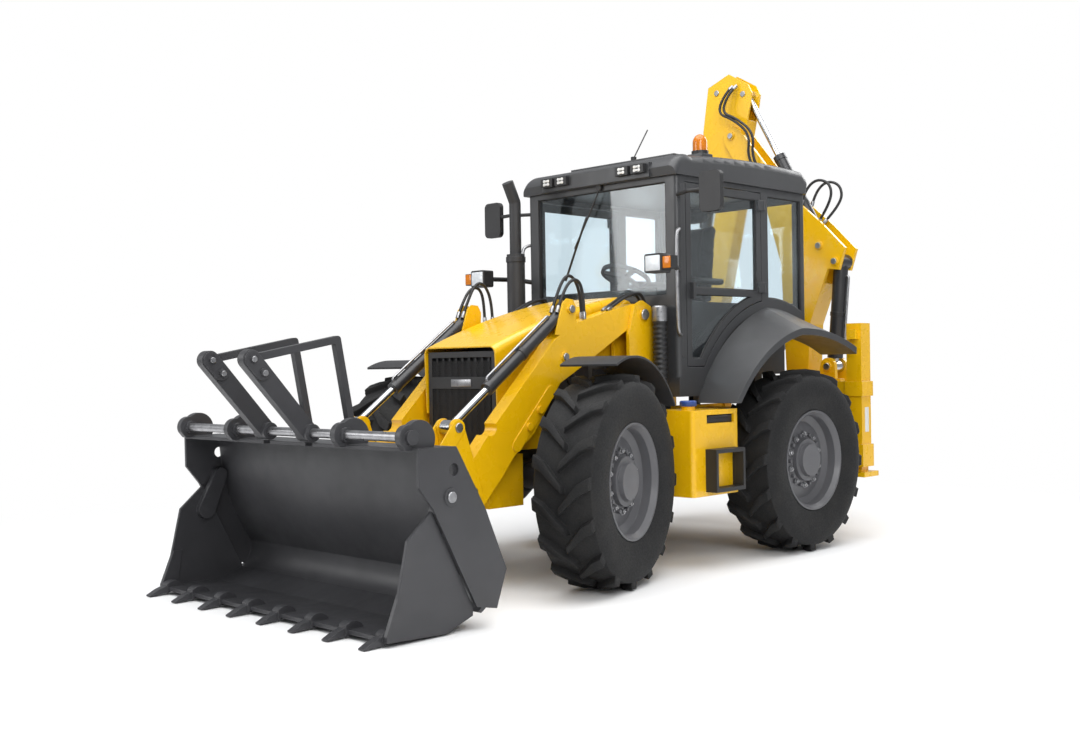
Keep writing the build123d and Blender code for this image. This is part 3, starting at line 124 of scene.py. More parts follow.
bpy.context.scene.camera = camera
print("camera lens, mm:", round(camera_data.lens, 2))

# %% [markdown]
# ## The studio's world
# A white studio is a pale floor that melts into a white world. The world is white
# only to rays from the camera and to rays that glass lets through. To all other rays
# it is a soft grey sky, which fills the shadows and keeps the blacks deep. The
# Standard view keeps white white, where the default view would turn it grey.

# %% World
bpy.context.scene.view_settings.view_transform = "Standard"
SKY_FILL = 0.45


def seen_rays(nodes, links):
    """Socket that is 1 for camera and transmission rays."""
    path = nodes.new("ShaderNodeLightPath")
    either = nodes.new("ShaderNodeMath")
    either.operation = "MAXIMUM"
    links.new(path.outputs["Is Camera Ray"], either.inputs[0])
    links.new(path.outputs["Is Transmission Ray"], either.inputs[1])
    return either.outputs[0]


world = bpy.data.worlds.new("white_studio")
bpy.context.scene.world = world
world.use_nodes = True
world_nodes, world_links = world.node_tree.nodes, world.node_tree.links
fill = world_nodes["Background"]
fill.inputs["Color"].default_value = (0.95, 0.97, 1.0, 1)
fill.inputs["Strength"].default_value = SKY_FILL
white = world_nodes.new("ShaderNodeBackground")
white.inputs["Color"].default_value = (1, 1, 1, 1)
white.inputs["Strength"].default_value = 1.0
world_mix = world_nodes.new("ShaderNodeMixShader")
world_links.new(seen_rays(world_nodes, world_links), world_mix.inputs["Fac"])
world_links.new(fill.outputs[0], world_mix.inputs[1])
world_links.new(white.outputs[0], world_mix.inputs[2])
world_links.new(world_mix.outputs[0], world_nodes["World Output"].inputs["Surface"])
print("sky strength:", SKY_FILL)

# %% [markdown]
# ## The floor
# The floor catches the soft shadow near the tyres. Further out it fades to plain
# white, so no horizon shows. A shader does the fading, by the distance from the
# middle, because the edge of a mesh would always show.

# %% Floor
FLOOR_HALF = 40.0
FLOOR_TONE = 0.86
SHADOW_REACH = 3.3
WHITE_REACH = 6.5
floor_mesh = bpy.data.meshes.new("studio_floor")
corners = [(-FLOOR_HALF, -FLOOR_HALF, 0), (FLOOR_HALF, -FLOOR_HALF, 0),
           (FLOOR_HALF, FLOOR_HALF, 0), (-FLOOR_HALF, FLOOR_HALF, 0)]
floor_mesh.from_pydata(corners, [], [(0, 1, 2, 3)])
floor = bpy.data.objects.new("studio_floor", floor_mesh)
bpy.context.scene.collection.objects.link(floor)
floor_paint = bpy.data.materials.new("studio_floor")
floor_paint.use_nodes = True
floor_nodes, floor_links = floor_paint.node_tree.nodes, floor_paint.node_tree.links
near = floor_nodes["Principled BSDF"]
near.inputs["Base Color"].default_value = (FLOOR_TONE, FLOOR_TONE, FLOOR_TONE, 1)
near.inputs["Roughness"].default_value = 0.9
near.inputs["Specular IOR Level"].default_value = 0.1
far = floor_nodes.new("ShaderNodeEmission")
far.inputs["Color"].default_value = (1, 1, 1, 1)
far.inputs["Strength"].default_value = 1.0
place_on_floor = floor_nodes.new("ShaderNodeTexCoord")
distance = floor_nodes.new("ShaderNodeVectorMath")
distance.operation = "LENGTH"
floor_links.new(place_on_floor.outputs["Object"], distance.inputs[0])
fade = floor_nodes.new("ShaderNodeMapRange")
fade.interpolation_type = "SMOOTHSTEP"
fade.inputs["From Min"].default_value = SHADOW_REACH
fade.inputs["From Max"].default_value = WHITE_REACH
floor_links.new(distance.outputs["Value"], fade.inputs["Value"])
seen_fade = floor_nodes.new("ShaderNodeMath")
seen_fade.operation = "MULTIPLY"
floor_links.new(fade.outputs["Result"], seen_fade.inputs[0])
floor_links.new(seen_rays(floor_nodes, floor_links), seen_fade.inputs[1])
floor_mix = floor_nodes.new("ShaderNodeMixShader")
floor_links.new(seen_fade.outputs[0], floor_mix.inputs["Fac"])
floor_links.new(near.outputs[0], floor_mix.inputs[1])
floor_links.new(far.outputs[0], floor_mix.inputs[2])
floor_links.new(floor_mix.outputs[0], floor_nodes["Material Output"].inputs["Surface"])
floor_mesh.materials.append(floor_paint)
print("floor fades to white between, metres:", SHADOW_REACH, WHITE_REACH)

# %% [markdown]
# ## The lamps
# Large square lamps give the soft light of a studio. The strongest hangs above, the
# next one lights the side that the camera sees, and two weaker ones draw the edges.
# Pointing a lamp at a target is easier to read than its three angles.

# %% Lamps
def studio_lamp(name, place, target, width, watts):
    """Square area lamp that looks at a target."""
    lamp = bpy.data.lights.new(name, "AREA")
    lamp.shape = "SQUARE"
    lamp.size = width
    lamp.energy = watts
    lamp_object = bpy.data.objects.new(name, lamp)
    lamp_object.location = place
    aim = Vector(target) - Vector(place)
    lamp_object.rotation_euler = aim.to_track_quat("-Z", "Y").to_euler()
    bpy.context.scene.collection.objects.link(lamp_object)
    return lamp_object


studio_lamp("lamp_above", (1.0, 1.0, 9.0), (0, 0, 0.5), 9.0, 900)
studio_lamp("lamp_left_front", (6.0, 8.0, 6.0), (0.3, 0, 1.2), 5.0, 520)
studio_lamp("lamp_right_front", (8.5, -5.0, 4.5), (0.5, 0, 1.0), 4.0, 260)
studio_lamp("lamp_behind", (-8.0, 1.0, 6.0), (-1, 0, 1.5), 4.0, 260)
print("lamps:", len(bpy.data.lights))

# %% [markdown]
# ## Finishes
# Every finish is a Principled shader whose colour, gloss and bump vary a little
# over the surface, because a paint that is the same everywhere looks like plastic.
# The variation comes from noise on Object coordinates, which needs no unwrapping.
# Edges are softened with a Bevel node, which rounds the normal near an edge and
# leaves the mesh alone.

# %% Helpers for finishes
def new_finish(name):
    """Principled material with its nodes, links and shader."""
    material = bpy.data.materials.new(name)
    material.use_nodes = True
    tree = material.node_tree
    return material, tree.nodes, tree.links, tree.nodes["Principled BSDF"]


def noise_over(nodes, links, scale, detail=4.0, stretch=(1, 1, 1)):
    """Noise on Object coordinates, as a 0 to 1 socket."""
    where = nodes.new("ShaderNodeTexCoord")
    mapping = nodes.new("ShaderNodeMapping")
    mapping.inputs["Scale"].default_value = stretch
    noise = nodes.new("ShaderNodeTexNoise")
    noise.inputs["Scale"].default_value = scale
    noise.inputs["Detail"].default_value = detail
    links.new(where.outputs["Object"], mapping.inputs["Vector"])
    links.new(mapping.outputs["Vector"], noise.inputs["Vector"])
    return noise.outputs["Fac"]


def remap(nodes, links, socket, low, high, start=0.3, stop=0.7):
    """Stretch a socket's start to stop range to low to high."""
    ramp = nodes.new("ShaderNodeMapRange")
    ramp.inputs["From Min"].default_value = start
    ramp.inputs["From Max"].default_value = stop
    ramp.inputs["To Min"].default_value = low
    ramp.inputs["To Max"].default_value = high
    links.new(socket, ramp.inputs["Value"])
    return ramp.outputs["Result"]


def base_colour(nodes, links, shader, factor, first, second):
    """Base colour that goes from first to second with a factor socket."""
    mix = nodes.new("ShaderNodeMix")
    mix.data_type = "RGBA"
    links.new(factor, mix.inputs["Factor"])
    mix.inputs["A"].default_value = (*first, 1)
    mix.inputs["B"].default_value = (*second, 1)
    links.new(mix.outputs["Result"], shader.inputs["Base Color"])


def soft_edges(nodes, links, shader, radius, height=None, strength=0.2, distance=0.002):
    """Rounded edge normals, with a bump on top of them where a height is given."""
    bevel = nodes.new("ShaderNodeBevel")
    bevel.samples = 4
    bevel.inputs["Radius"].default_value = radius
    normal = bevel.outputs["Normal"]
    if height is not None:
        bump = nodes.new("ShaderNodeBump")
        bump.inputs["Strength"].default_value = strength
        bump.inputs["Distance"].default_value = distance
        links.new(height, bump.inputs["Height"])
        links.new(normal, bump.inputs["Normal"])
        normal = bump.outputs["Normal"]
    links.new(normal, shader.inputs["Normal"])


print("helpers for finishes ready")

# %% [markdown]
# ## Paints
# The machine is sprayed with enamel: yellow on the hood and the arms, greys on cab,
# shovel and rims, black on castings and rams. One helper makes them all from two close
# colours, a gloss and a clear coat, so that they look like one maker's work.

# %% Paints
def enamel(name, colour, shade, gloss, coat):
    """Sprayed enamel: slow colour drift, fine orange peel and uneven gloss."""
    material, nodes, links, shader = new_finish(name)
    drift = remap(nodes, links, noise_over(nodes, links, 2.2), 0, 1)
    base_colour(nodes, links, shader, drift, colour, shade)
    uneven = noise_over(nodes, links, 9.0, 6.0)
    links.new(remap(nodes, links, uneven, gloss - 0.05, gloss + 0.07), shader.inputs["Roughness"])
    shader.inputs["Coat Weight"].default_value = coat
    shader.inputs["Coat Roughness"].default_value = 0.12
    peel = noise_over(nodes, links, 160.0, 2.0)
    soft_edges(nodes, links, shader, 0.006, peel, 0.05, 0.0006)
    return material


yellow_paint = enamel("yellow_paint", (0.82, 0.470, 0.003), (0.76, 0.425, 0.002), 0.28, 0.35)
cab_paint = enamel("cab_paint", (0.040, 0.041, 0.044), (0.031, 0.032, 0.034), 0.42, 0.05)
shovel_paint = enamel("shovel_paint", (0.043, 0.043, 0.047), (0.031, 0.031, 0.034), 0.42, 0.0)
rim_paint = enamel("rim_paint", (0.105, 0.105, 0.112), (0.086, 0.086, 0.092), 0.40, 0.05)
casting_paint = enamel("casting_paint", (0.026, 0.026, 0.028), (0.018, 0.018, 0.020), 0.55, 0.0)
ram_paint = enamel("ram_paint", (0.022, 0.022, 0.024), (0.016, 0.016, 0.018), 0.36, 0.1)
paints = (yellow_paint, cab_paint, shovel_paint, rim_paint, casting_paint, ram_paint)
print("made:", [paint.name for paint in paints])

# %% [markdown]
# ## Rubber and plastic
# Tyres and plastic housings are both black. What tells them apart is the grain and
# the gloss: rubber is dull and dusty, moulded plastic has a fine even grain.

# %% Rubber and plastic
def tyre_rubber():
    """Black rubber, dull and faintly dusty in the hollows of the noise."""
    material, nodes, links, shader = new_finish("tyre_rubber")
    dust = remap(nodes, links, noise_over(nodes, links, 6.0, 8.0), 0, 1, 0.45, 0.75)
    base_colour(nodes, links, shader, dust, (0.0085, 0.0085, 0.0090), (0.015, 0.0145, 0.014))
    grain = noise_over(nodes, links, 90.0, 5.0)
    links.new(remap(nodes, links, grain, 0.62, 0.82), shader.inputs["Roughness"])
    shader.inputs["Specular IOR Level"].default_value = 0.35
    soft_edges(nodes, links, shader, 0.006, grain, 0.25, 0.0015)
    return material


def moulded_plastic():
    """Grained black plastic of mirrors, lamps and steps."""
    material, nodes, links, shader = new_finish("moulded_plastic")
    drift = remap(nodes, links, noise_over(nodes, links, 5.0), 0, 1)
    base_colour(nodes, links, shader, drift, (0.014, 0.014, 0.015), (0.020, 0.020, 0.021))
    grain = noise_over(nodes, links, 420.0, 2.0)
    links.new(remap(nodes, links, grain, 0.42, 0.56), shader.inputs["Roughness"])
    soft_edges(nodes, links, shader, 0.004, grain, 0.15, 0.0006)
    return material


black_rubber = tyre_rubber()
black_plastic = moulded_plastic()
print("made:", black_rubber.name, black_plastic.name)

# %% [markdown]
# ## Chrome and glass
# Ram rods are chromed steel, so their colour is the colour of what they reflect. The
# panes are clear with a faint tint. Streaks in the gloss keep both from looking new.

# %% Chrome and glass
def polished_chrome():
    """Hard chrome of ram rods with the finest of turning marks."""
    material, nodes, links, shader = new_finish("polished_chrome")
    drift = remap(nodes, links, noise_over(nodes, links, 14.0), 0, 1)
    base_colour(nodes, links, shader, drift, (0.60, 0.61, 0.62), (0.50, 0.51, 0.52))
    shader.inputs["Metallic"].default_value = 1.0
    fine = noise_over(nodes, links, 60.0, 3.0)
    links.new(remap(nodes, links, fine, 0.12, 0.24), shader.inputs["Roughness"])
    return material


def cab_glazing():
    """Clear safety glass with a faint blue tint and streaks in its gloss."""
    material, nodes, links, shader = new_finish("cab_glazing")
    streaks = noise_over(nodes, links, 3.0, 3.0, (1, 1, 0.3))
    base_colour(nodes, links, shader, streaks, (0.80, 0.90, 0.95), (0.86, 0.93, 0.96))
    links.new(remap(nodes, links, streaks, 0.01, 0.05), shader.inputs["Roughness"])
    shader.inputs["Transmission Weight"].default_value = 1.0
    shader.inputs["IOR"].default_value = 1.45
    return material


chrome = polished_chrome()
clear_glass = cab_glazing()
print("made:", chrome.name, clear_glass.name)

# %% [markdown]
# ## Seat cloth
# The seat's cover is woven. Two waves that cross stand for its threads, and their
# product gives both colour and bump, so the two always agree.

# %% Seat cloth
def seat_cloth():
    """Dark woven cloth: two crossed waves make the weave."""
    material, nodes, links, shader = new_finish("seat_cloth")
    where = nodes.new("ShaderNodeTexCoord")
    weave = []
    for direction in ("X", "Z"):
        wave = nodes.new("ShaderNodeTexWave")
        wave.bands_direction = direction
        wave.inputs["Scale"].default_value = 120.0
        wave.inputs["Distortion"].default_value = 0.6
        links.new(where.outputs["Object"], wave.inputs["Vector"])
        weave.append(wave.outputs["Fac"])
    crossed = nodes.new("ShaderNodeMath")
    crossed.operation = "MULTIPLY"
    links.new(weave[0], crossed.inputs[0])
    links.new(weave[1], crossed.inputs[1])
    base_colour(nodes, links, shader, crossed.outputs[0], (0.020, 0.021, 0.024), (0.050, 0.052, 0.058))
    shader.inputs["Roughness"].default_value = 0.85
    shader.inputs["Sheen Weight"].default_value = 0.25
    bump = nodes.new("ShaderNodeBump")
    bump.inputs["Strength"].default_value = 0.4
    bump.inputs["Distance"].default_value = 0.001
    links.new(crossed.outputs[0], bump.inputs["Height"])
    links.new(bump.outputs["Normal"], shader.inputs["Normal"])
    return material


woven_cloth = seat_cloth()
print("made:", woven_cloth.name)

# %% [markdown]
# ## Dressing the solids
# The record names a slot for every solid. A table from slots to finishes dresses them
# all in one loop, which is safer than naming sixty solids one by one.

# %% Dress the solids
finish_of_slot = {
    "yellow_paint": yellow_paint,
    "grey_paint": cab_paint,
    "dark_paint": shovel_paint,
    "dark_iron": casting_paint,
    "rim_grey": rim_paint,
    "tyre_rubber": black_rubber,
    "ram_black": ram_paint,
    "ram_chrome": chrome,
    "black_plastic": black_plastic,
    "cab_glazing": clear_glass,
    "seat_cloth": woven_cloth,
}
for subpart in frame["record"]["subparts"]:
    mesh = nodes_of_machine[subpart["node"]].data
    mesh.materials.clear()
    mesh.materials.append(finish_of_slot[subpart["material_slot"]])

# %% [markdown]
# ## Finishes of the small pieces
# Lamp lenses are fluted plastic that lets some light through. Pins, nuts and pipes are
# bare steel, rubbed bright in places. Hoses, seals, caps and plates are plain enough
# for the paint helper.

# %% Lenses, steel and hose rubber
def lens(name, colour, shade, clear):
    """Coloured lamp lens with fine flutes moulded into it."""
    material, nodes, links, shader = new_finish(name)
    drift = remap(nodes, links, noise_over(nodes, links, 30.0), 0, 1)
    base_colour(nodes, links, shader, drift, colour, shade)
    shader.inputs["Transmission Weight"].default_value = clear
    flutes = noise_over(nodes, links, 120.0, 1.0, (1, 1, 0.1))
    links.new(remap(nodes, links, flutes, 0.05, 0.16), shader.inputs["Roughness"])
    soft_edges(nodes, links, shader, 0.002, flutes, 0.3, 0.001)
    return material


def bare_steel():
    """Turned steel of pins, nuts and pipes, brighter where it is rubbed."""
    material, nodes, links, shader = new_finish("bare_steel")
    rubbed = remap(nodes, links, noise_over(nodes, links, 25.0, 5.0), 0, 1)
    base_colour(nodes, links, shader, rubbed, (0.42, 0.42, 0.43), (0.30, 0.30, 0.31))
    shader.inputs["Metallic"].default_value = 1.0
    fine = noise_over(nodes, links, 70.0)
    links.new(remap(nodes, links, fine, 0.25, 0.45), shader.inputs["Roughness"])
    soft_edges(nodes, links, shader, 0.002)
    return material


amber_lens = lens("amber_lens", (0.90, 0.28, 0.01), (0.80, 0.22, 0.01), 0.35)
red_lens = lens("red_lens", (0.55, 0.010, 0.008), (0.45, 0.008, 0.006), 0.2)
lamp_lens = lens("lamp_lens", (0.80, 0.83, 0.86), (0.66, 0.70, 0.74), 0.15)
# The mirror's pale grey colour is a painted reflection, standing in for what its glass reflects.
mirror_painted_reflection = enamel("mirror_painted_reflection", (0.70, 0.72, 0.74), (0.62, 0.64, 0.66), 0.12, 0.3)
hose_rubber = enamel("hose_rubber", (0.017, 0.017, 0.018), (0.011, 0.011, 0.012), 0.5, 0.0)
seal_rubber = enamel("seal_rubber", (0.012, 0.012, 0.013), (0.008, 0.008, 0.009), 0.6, 0.0)
cap_blue = enamel("cap_blue", (0.02, 0.07, 0.30), (0.015, 0.05, 0.24), 0.4, 0.1)
plate_white = enamel("plate_white", (0.72, 0.72, 0.70), (0.64, 0.64, 0.62), 0.4, 0.1)
steel = bare_steel()
print("finishes:", len(bpy.data.materials))

# %% [markdown]
# ## Placing and delivering
# Small pieces are placed as on a drawing: by a station forward of the rear axle, a
# distance across and a height. "deliver" turns a mesh into a piece that rides on a
# body of the machine. Pieces stay at the origin, with their place in the mesh, so that
# a joint moves them rightly.

# %% Helpers that place and deliver
def at(station, across, height):
    """Point of the machine, metres from the rear axle, the middle and the ground."""
    return Vector((rear_axle_x + station, across, height))


def route_at(points, hand=1):
    """Points of the machine from stations, distances across and heights, on one hand."""
    return [at(station, hand * across, height) for station, across, height in points]


def deliver(name, mesh, material, body, sharp_degrees=38):
    """Piece from a mesh, riding on one body."""
    mesh.name = name
    mesh.materials.clear()
    mesh.materials.append(material)
    mesh.shade_smooth()
    mesh.set_sharp_from_angle(angle=math.radians(sharp_degrees))
    piece = bpy.data.objects.new(name, mesh)
    bpy.context.scene.collection.objects.link(piece)
    if body:
        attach(piece, body)
    return piece


def applied(holder):
    """Plain mesh of an object with its modifiers or bevel applied; the object goes."""
    evaluated = holder.evaluated_get(bpy.context.evaluated_depsgraph_get())
    mesh = bpy.data.meshes.new_from_object(evaluated)
    bpy.data.objects.remove(holder)
    return mesh


def joined(meshes):
    """One mesh from several."""
    form = bmesh.new()
    for mesh in meshes:
        form.from_mesh(mesh)
    whole = bpy.data.meshes.new("joined")
    form.to_mesh(whole)
    form.free()
    return whole


print("stations start at x, metres:", round(rear_axle_x, 3))

# %% [markdown]
# ## Tubes and blocks
# A tube follows a smooth NURBS line, or straight lines where it has corners. A block is
# a cube with bevelled edges. Curves and bevels are Blender's own tools, so neither
# shape has to be drawn point by point.

# %% Helpers for tubes and blocks
def tube(points, radius, closed=False, curved=True):
    """Mesh of a round tube along points, on a NURBS line where it is curved."""
    curve = bpy.data.curves.new("route", "CURVE")
    curve.dimensions = "3D"
    curve.bevel_depth = radius
    curve.bevel_resolution = 3
    curve.use_fill_caps = True
    line = curve.splines.new("NURBS" if curved else "POLY")
    line.points.add(len(points) - 1)
    for point, spot in zip(line.points, points):
        point.co = (*spot, 1)
    line.use_cyclic_u = closed
    if curved:
        line.order_u = 3
        line.use_endpoint_u = not closed
    holder = bpy.data.objects.new("route", curve)
    bpy.context.scene.collection.objects.link(holder)
    return applied(holder)


def rounded_block(low, high, radius, segments=3):
    """Mesh of a box between two corners with rounded edges."""
    low, high = Vector(low), Vector(high)
    form = bmesh.new()
    bmesh.ops.create_cube(form, size=1.0)
    side = Vector([abs(high[axis] - low[axis]) for axis in range(3)])
    for vertex in form.verts:
        vertex.co = Vector([vertex.co[axis] * side[axis] for axis in range(3)]) + (low + high) / 2
    widest = min(side) * 0.49
    bmesh.ops.bevel(form, geom=form.edges[:], offset=min(radius, widest), segments=segments,
                    profile=0.5, affect="EDGES")
    mesh = bpy.data.meshes.new("rounded_block")
    form.to_mesh(mesh)
    form.free()
    return mesh


def block_at(stations, across, heights, radius, hand=1):
    """Rounded block between two stations, distances across and heights, on one hand."""
    low, high = route_at(zip(stations, across, heights), hand)
    return rounded_block(low, high, radius)


print("helpers ready: tube, rounded_block, block_at")

# %% [markdown]
# ## Turned pieces
# Pins, caps, nuts and collars are turned on a lathe, and so they are here. A profile of
# shares of a length and radii is carried round a line, with no more points than the
# shape needs.

# %% Helpers for turned pieces
def turned(start, end, profile, segments=40):
    """Mesh turned round the line from start to end; profile gives (share of length, radius)."""
    start, run = Vector(start), Vector(end) - Vector(start)
    frame_turn = run.to_track_quat("Z", "Y").to_matrix()
    form = bmesh.new()
    rings = []
    for share, radius in profile:
        ring = []
        for step in range(segments):
            angle = 2 * math.pi * step / segments
            spoke = Vector((radius * math.cos(angle), radius * math.sin(angle), share * run.length))
            ring.append(form.verts.new(start + frame_turn @ spoke))
        rings.append(ring)
    for lower, upper in zip(rings, rings[1:]):
        for step in range(segments):
            after = (step + 1) % segments
            form.faces.new((lower[step], lower[after], upper[after], upper[step]))
    form.faces.new(rings[0][::-1])
    form.faces.new(rings[-1])
    mesh = bpy.data.meshes.new("turned")
    form.to_mesh(mesh)
    form.free()
    return mesh


def pin_head(centre, outward, radius, height):
    """Mesh of a chamfered pin head standing on a point."""
    centre, outward = Vector(centre), Vector(outward).normalized()
    chamfer = 0.12 * radius
    profile = [(0, radius), (1 - chamfer / height, radius), (1, radius - chamfer)]
    return turned(centre, centre + outward * height, profile)


print("helpers ready: turned, pin_head")

# %% [markdown]
# ## Rings of copies
# The lugs of a tyre and the nuts of a wheel are rings of the same thing. A small
# Geometry Nodes tree sets any piece round the wheel's axle. Its inputs are named, so
# one tree serves both.

# %% A Geometry Nodes tree for rings of copies
def ring_tree():
    """Tree that repeats its geometry round the Y axis."""
    tree = bpy.data.node_groups.new("ring_of_copies", "GeometryNodeTree")
    tree.interface.new_socket("Geometry", in_out="INPUT", socket_type="NodeSocketGeometry")
    count = tree.interface.new_socket("Count", in_out="INPUT", socket_type="NodeSocketInt")
    finish = tree.interface.new_socket("Finish", in_out="INPUT", socket_type="NodeSocketMaterial")
    tree.interface.new_socket("Geometry", in_out="OUTPUT", socket_type="NodeSocketGeometry")
    nodes, links = tree.nodes, tree.links
    entry = nodes.new("NodeGroupInput")
    points = nodes.new("GeometryNodePoints")
    links.new(entry.outputs["Count"], points.inputs["Count"])
    index = nodes.new("GeometryNodeInputIndex")
    share = nodes.new("ShaderNodeMath")
    share.operation = "DIVIDE"
    links.new(index.outputs[0], share.inputs[0])
    links.new(entry.outputs["Count"], share.inputs[1])
    angle = nodes.new("ShaderNodeMath")
    angle.operation = "MULTIPLY"
    angle.inputs[1].default_value = 2 * math.pi
    links.new(share.outputs[0], angle.inputs[0])
    euler = nodes.new("ShaderNodeCombineXYZ")
    links.new(angle.outputs[0], euler.inputs["Y"])
    rotation = nodes.new("FunctionNodeEulerToRotation")
    links.new(euler.outputs[0], rotation.inputs[0])
    copies = nodes.new("GeometryNodeInstanceOnPoints")
    links.new(points.outputs[0], copies.inputs["Points"])
    links.new(entry.outputs["Geometry"], copies.inputs["Instance"])
    links.new(rotation.outputs[0], copies.inputs["Rotation"])
    real = nodes.new("GeometryNodeRealizeInstances")
    links.new(copies.outputs[0], real.inputs[0])
    dress = nodes.new("GeometryNodeSetMaterial")
    links.new(real.outputs[0], dress.inputs["Geometry"])
    links.new(entry.outputs["Finish"], dress.inputs["Material"])
    leave = nodes.new("NodeGroupOutput")
    links.new(dress.outputs[0], leave.inputs[0])
    return tree, count.identifier, finish.identifier


RING_TREE, RING_COUNT, RING_FINISH = ring_tree()


def ring_of(mesh, count, material):
    """Mesh with count copies of a mesh round the Y axis."""
    holder = bpy.data.objects.new("ring_holder", mesh)
    bpy.context.scene.collection.objects.link(holder)
    modifier = holder.modifiers.new("ring", "NODES")
    modifier.node_group = RING_TREE
    modifier[RING_COUNT] = count
    modifier[RING_FINISH] = material
    return applied(holder)


print("tree nodes:", len(RING_TREE.nodes))

# %% [markdown]
# ## Tyre carcass
# The CAD tyres are flat-sided, which is all that physics needs. The eye wants a round
# carcass of the same size. Half of its profile is written down, from the bead up the
# side wall to the middle of the tread, and mirrored, so both side walls are alike.

# %% Tyre carcass
# Points of the profile: distance across, radius
TYRE_PROFILE = [(0.150, 0.3790), (0.184, 0.3800), (0.196, 0.4000), (0.206, 0.4300), (0.215, 0.4700),
                (0.2195, 0.5150), (0.2195, 0.5500), (0.214, 0.5900), (0.203, 0.6220), (0.192, 0.6380),
                (0.150, 0.6440), (0.080, 0.6470), (0.0, 0.6480)]
CARCASS_STEPS = 112


def carcass_mesh():
    """Smooth tyre body turned round the Y axis."""
    profile = [(-across, radius) for across, radius in TYRE_PROFILE]
    profile += [(across, radius) for across, radius in reversed(TYRE_PROFILE[:-1])]
    form = bmesh.new()
    rings = []
    for across, radius in profile:
        ring = []
        for step in range(CARCASS_STEPS):
            angle = 2 * math.pi * step / CARCASS_STEPS
            ring.append(form.verts.new((radius * math.sin(angle), across, radius * math.cos(angle))))
        rings.append(ring)
    for here, there in zip(rings, rings[1:] + rings[:1]):
        for step in range(CARCASS_STEPS):
            after = (step + 1) % CARCASS_STEPS
            form.faces.new((here[step], there[step], there[after], here[after]))
    bmesh.ops.recalc_face_normals(form, faces=form.faces[:])
    mesh = bpy.data.meshes.new("carcass")
    form.to_mesh(mesh)
    form.free()
    return mesh


carcass = carcass_mesh()
print("faces in the carcass:", len(carcass.polygons))

# %% [markdown]
# ## Lugs
# A lug starts as an outline on the unrolled tread. Bent round the wheel at three levels
# it becomes a solid: flared at the foot, steep above it, and drawn down at the
# shoulder. The second row is the first one mirrored and moved on by half a step.

# %% Lugs
TYRE_RADIUS = 0.690
TREAD_RADIUS = 0.654
TREAD_HALF = 0.195
SHOULDER_START = 0.14
LUG_PAIRS = 16
LUG_BEVEL = 0.006
# Points of the outline: distance along the tread, distance across
LUG_PLAN = [(0.105, -0.012), (0.150, -0.012), (0.085, 0.060), (0.024, 0.128), (-0.008, 0.195),
            (-0.085, 0.195), (-0.040, 0.115), (0.030, 0.055)]
# Levels: flare of the outline, lift over the tread, fall at the shoulder
LUG_LEVELS = [(1.16, -0.020, 0.030), (1.05, 0.012, 0.006), (1.0, 0.0344, 0.009)]


def lug_mesh(row):
    """One lug of a row, bent onto the tread."""
    middle = Vector((sum(x for x, _ in LUG_PLAN), sum(y for _, y in LUG_PLAN))) / len(LUG_PLAN)
    row_start = 0 if row > 0 else math.pi / LUG_PAIRS
    form = bmesh.new()
    levels = []
    for flare, lift, fall in LUG_LEVELS:
        ring = []
        for along, across in LUG_PLAN:
            flat = middle + (Vector((along, across)) - middle) * flare
            reach = min(abs(flat.y), TREAD_HALF)
            shoulder = max(0.0, (reach - SHOULDER_START) / (TREAD_HALF - SHOULDER_START))
            radius = TREAD_RADIUS + lift - fall * shoulder
            angle = flat.x / TYRE_RADIUS + row_start
            side = row * (reach if flat.y > 0 else -reach)
            ring.append(form.verts.new((radius * math.sin(angle), side, radius * math.cos(angle))))
        levels.append(ring)
    for lower, upper in zip(levels, levels[1:]):
        for step in range(len(LUG_PLAN)):
            after = (step + 1) % len(LUG_PLAN)
            form.faces.new((lower[step], lower[after], upper[after], upper[step]))
    form.faces.new(levels[0])
    form.faces.new(levels[-1])
    bmesh.ops.recalc_face_normals(form, faces=form.faces[:])
    top_edges = [edge for edge in form.edges if any(v in levels[-1] for v in edge.verts)]
    bmesh.ops.bevel(form, geom=top_edges, offset=LUG_BEVEL, segments=2, profile=0.6, affect="EDGES")
    mesh = bpy.data.meshes.new("lug")
    form.to_mesh(mesh)
    form.free()
    return mesh


lug_pair = joined([lug_mesh(1), lug_mesh(-1)])
tread = ring_of(lug_pair, LUG_PAIRS, black_rubber)
tyre_pattern = joined([carcass, tread])
print("faces in one tyre:", len(tyre_pattern.polygons))

# %% [markdown]
# ## Wheel nuts
# Ten nuts hold each wheel. A nut is a washer, a hexagon and the end of the stud, each
# one turned, the hexagon with six steps only. One nut is made at the top of the circle,
# and the ring tree makes the rest.

# %% Wheel nuts
NUT_CIRCLE = 0.195
NUT_COUNT = 10
# Foot and head along the axle, profile, steps round
WASHER = (0.094, 0.099, [(0, 0.023), (1, 0.022)], 24)
HEXAGON = (0.098, 0.1145, [(0, 0.0175), (0.85, 0.0175), (1, 0.015)], 6)
STUD = (0.112, 0.122, [(0, 0.0085), (0.8, 0.0085), (1, 0.007)], 12)
nut_parts = []
for foot, head, profile, steps in (WASHER, HEXAGON, STUD):
    nut_parts.append(turned((0, foot, NUT_CIRCLE), (0, head, NUT_CIRCLE), profile, steps))
nut_pattern = ring_of(joined(nut_parts), NUT_COUNT, steel)
print("nuts on a wheel:", NUT_COUNT)

# %% [markdown]
# ## Four wheels
# Tyre and nuts have been made upright at the origin. Each wheel's joint gives the
# direction of its axle, and both are turned to it, so steered wheels come out right
# too. The round tyre then takes the place of the flat-sided one.

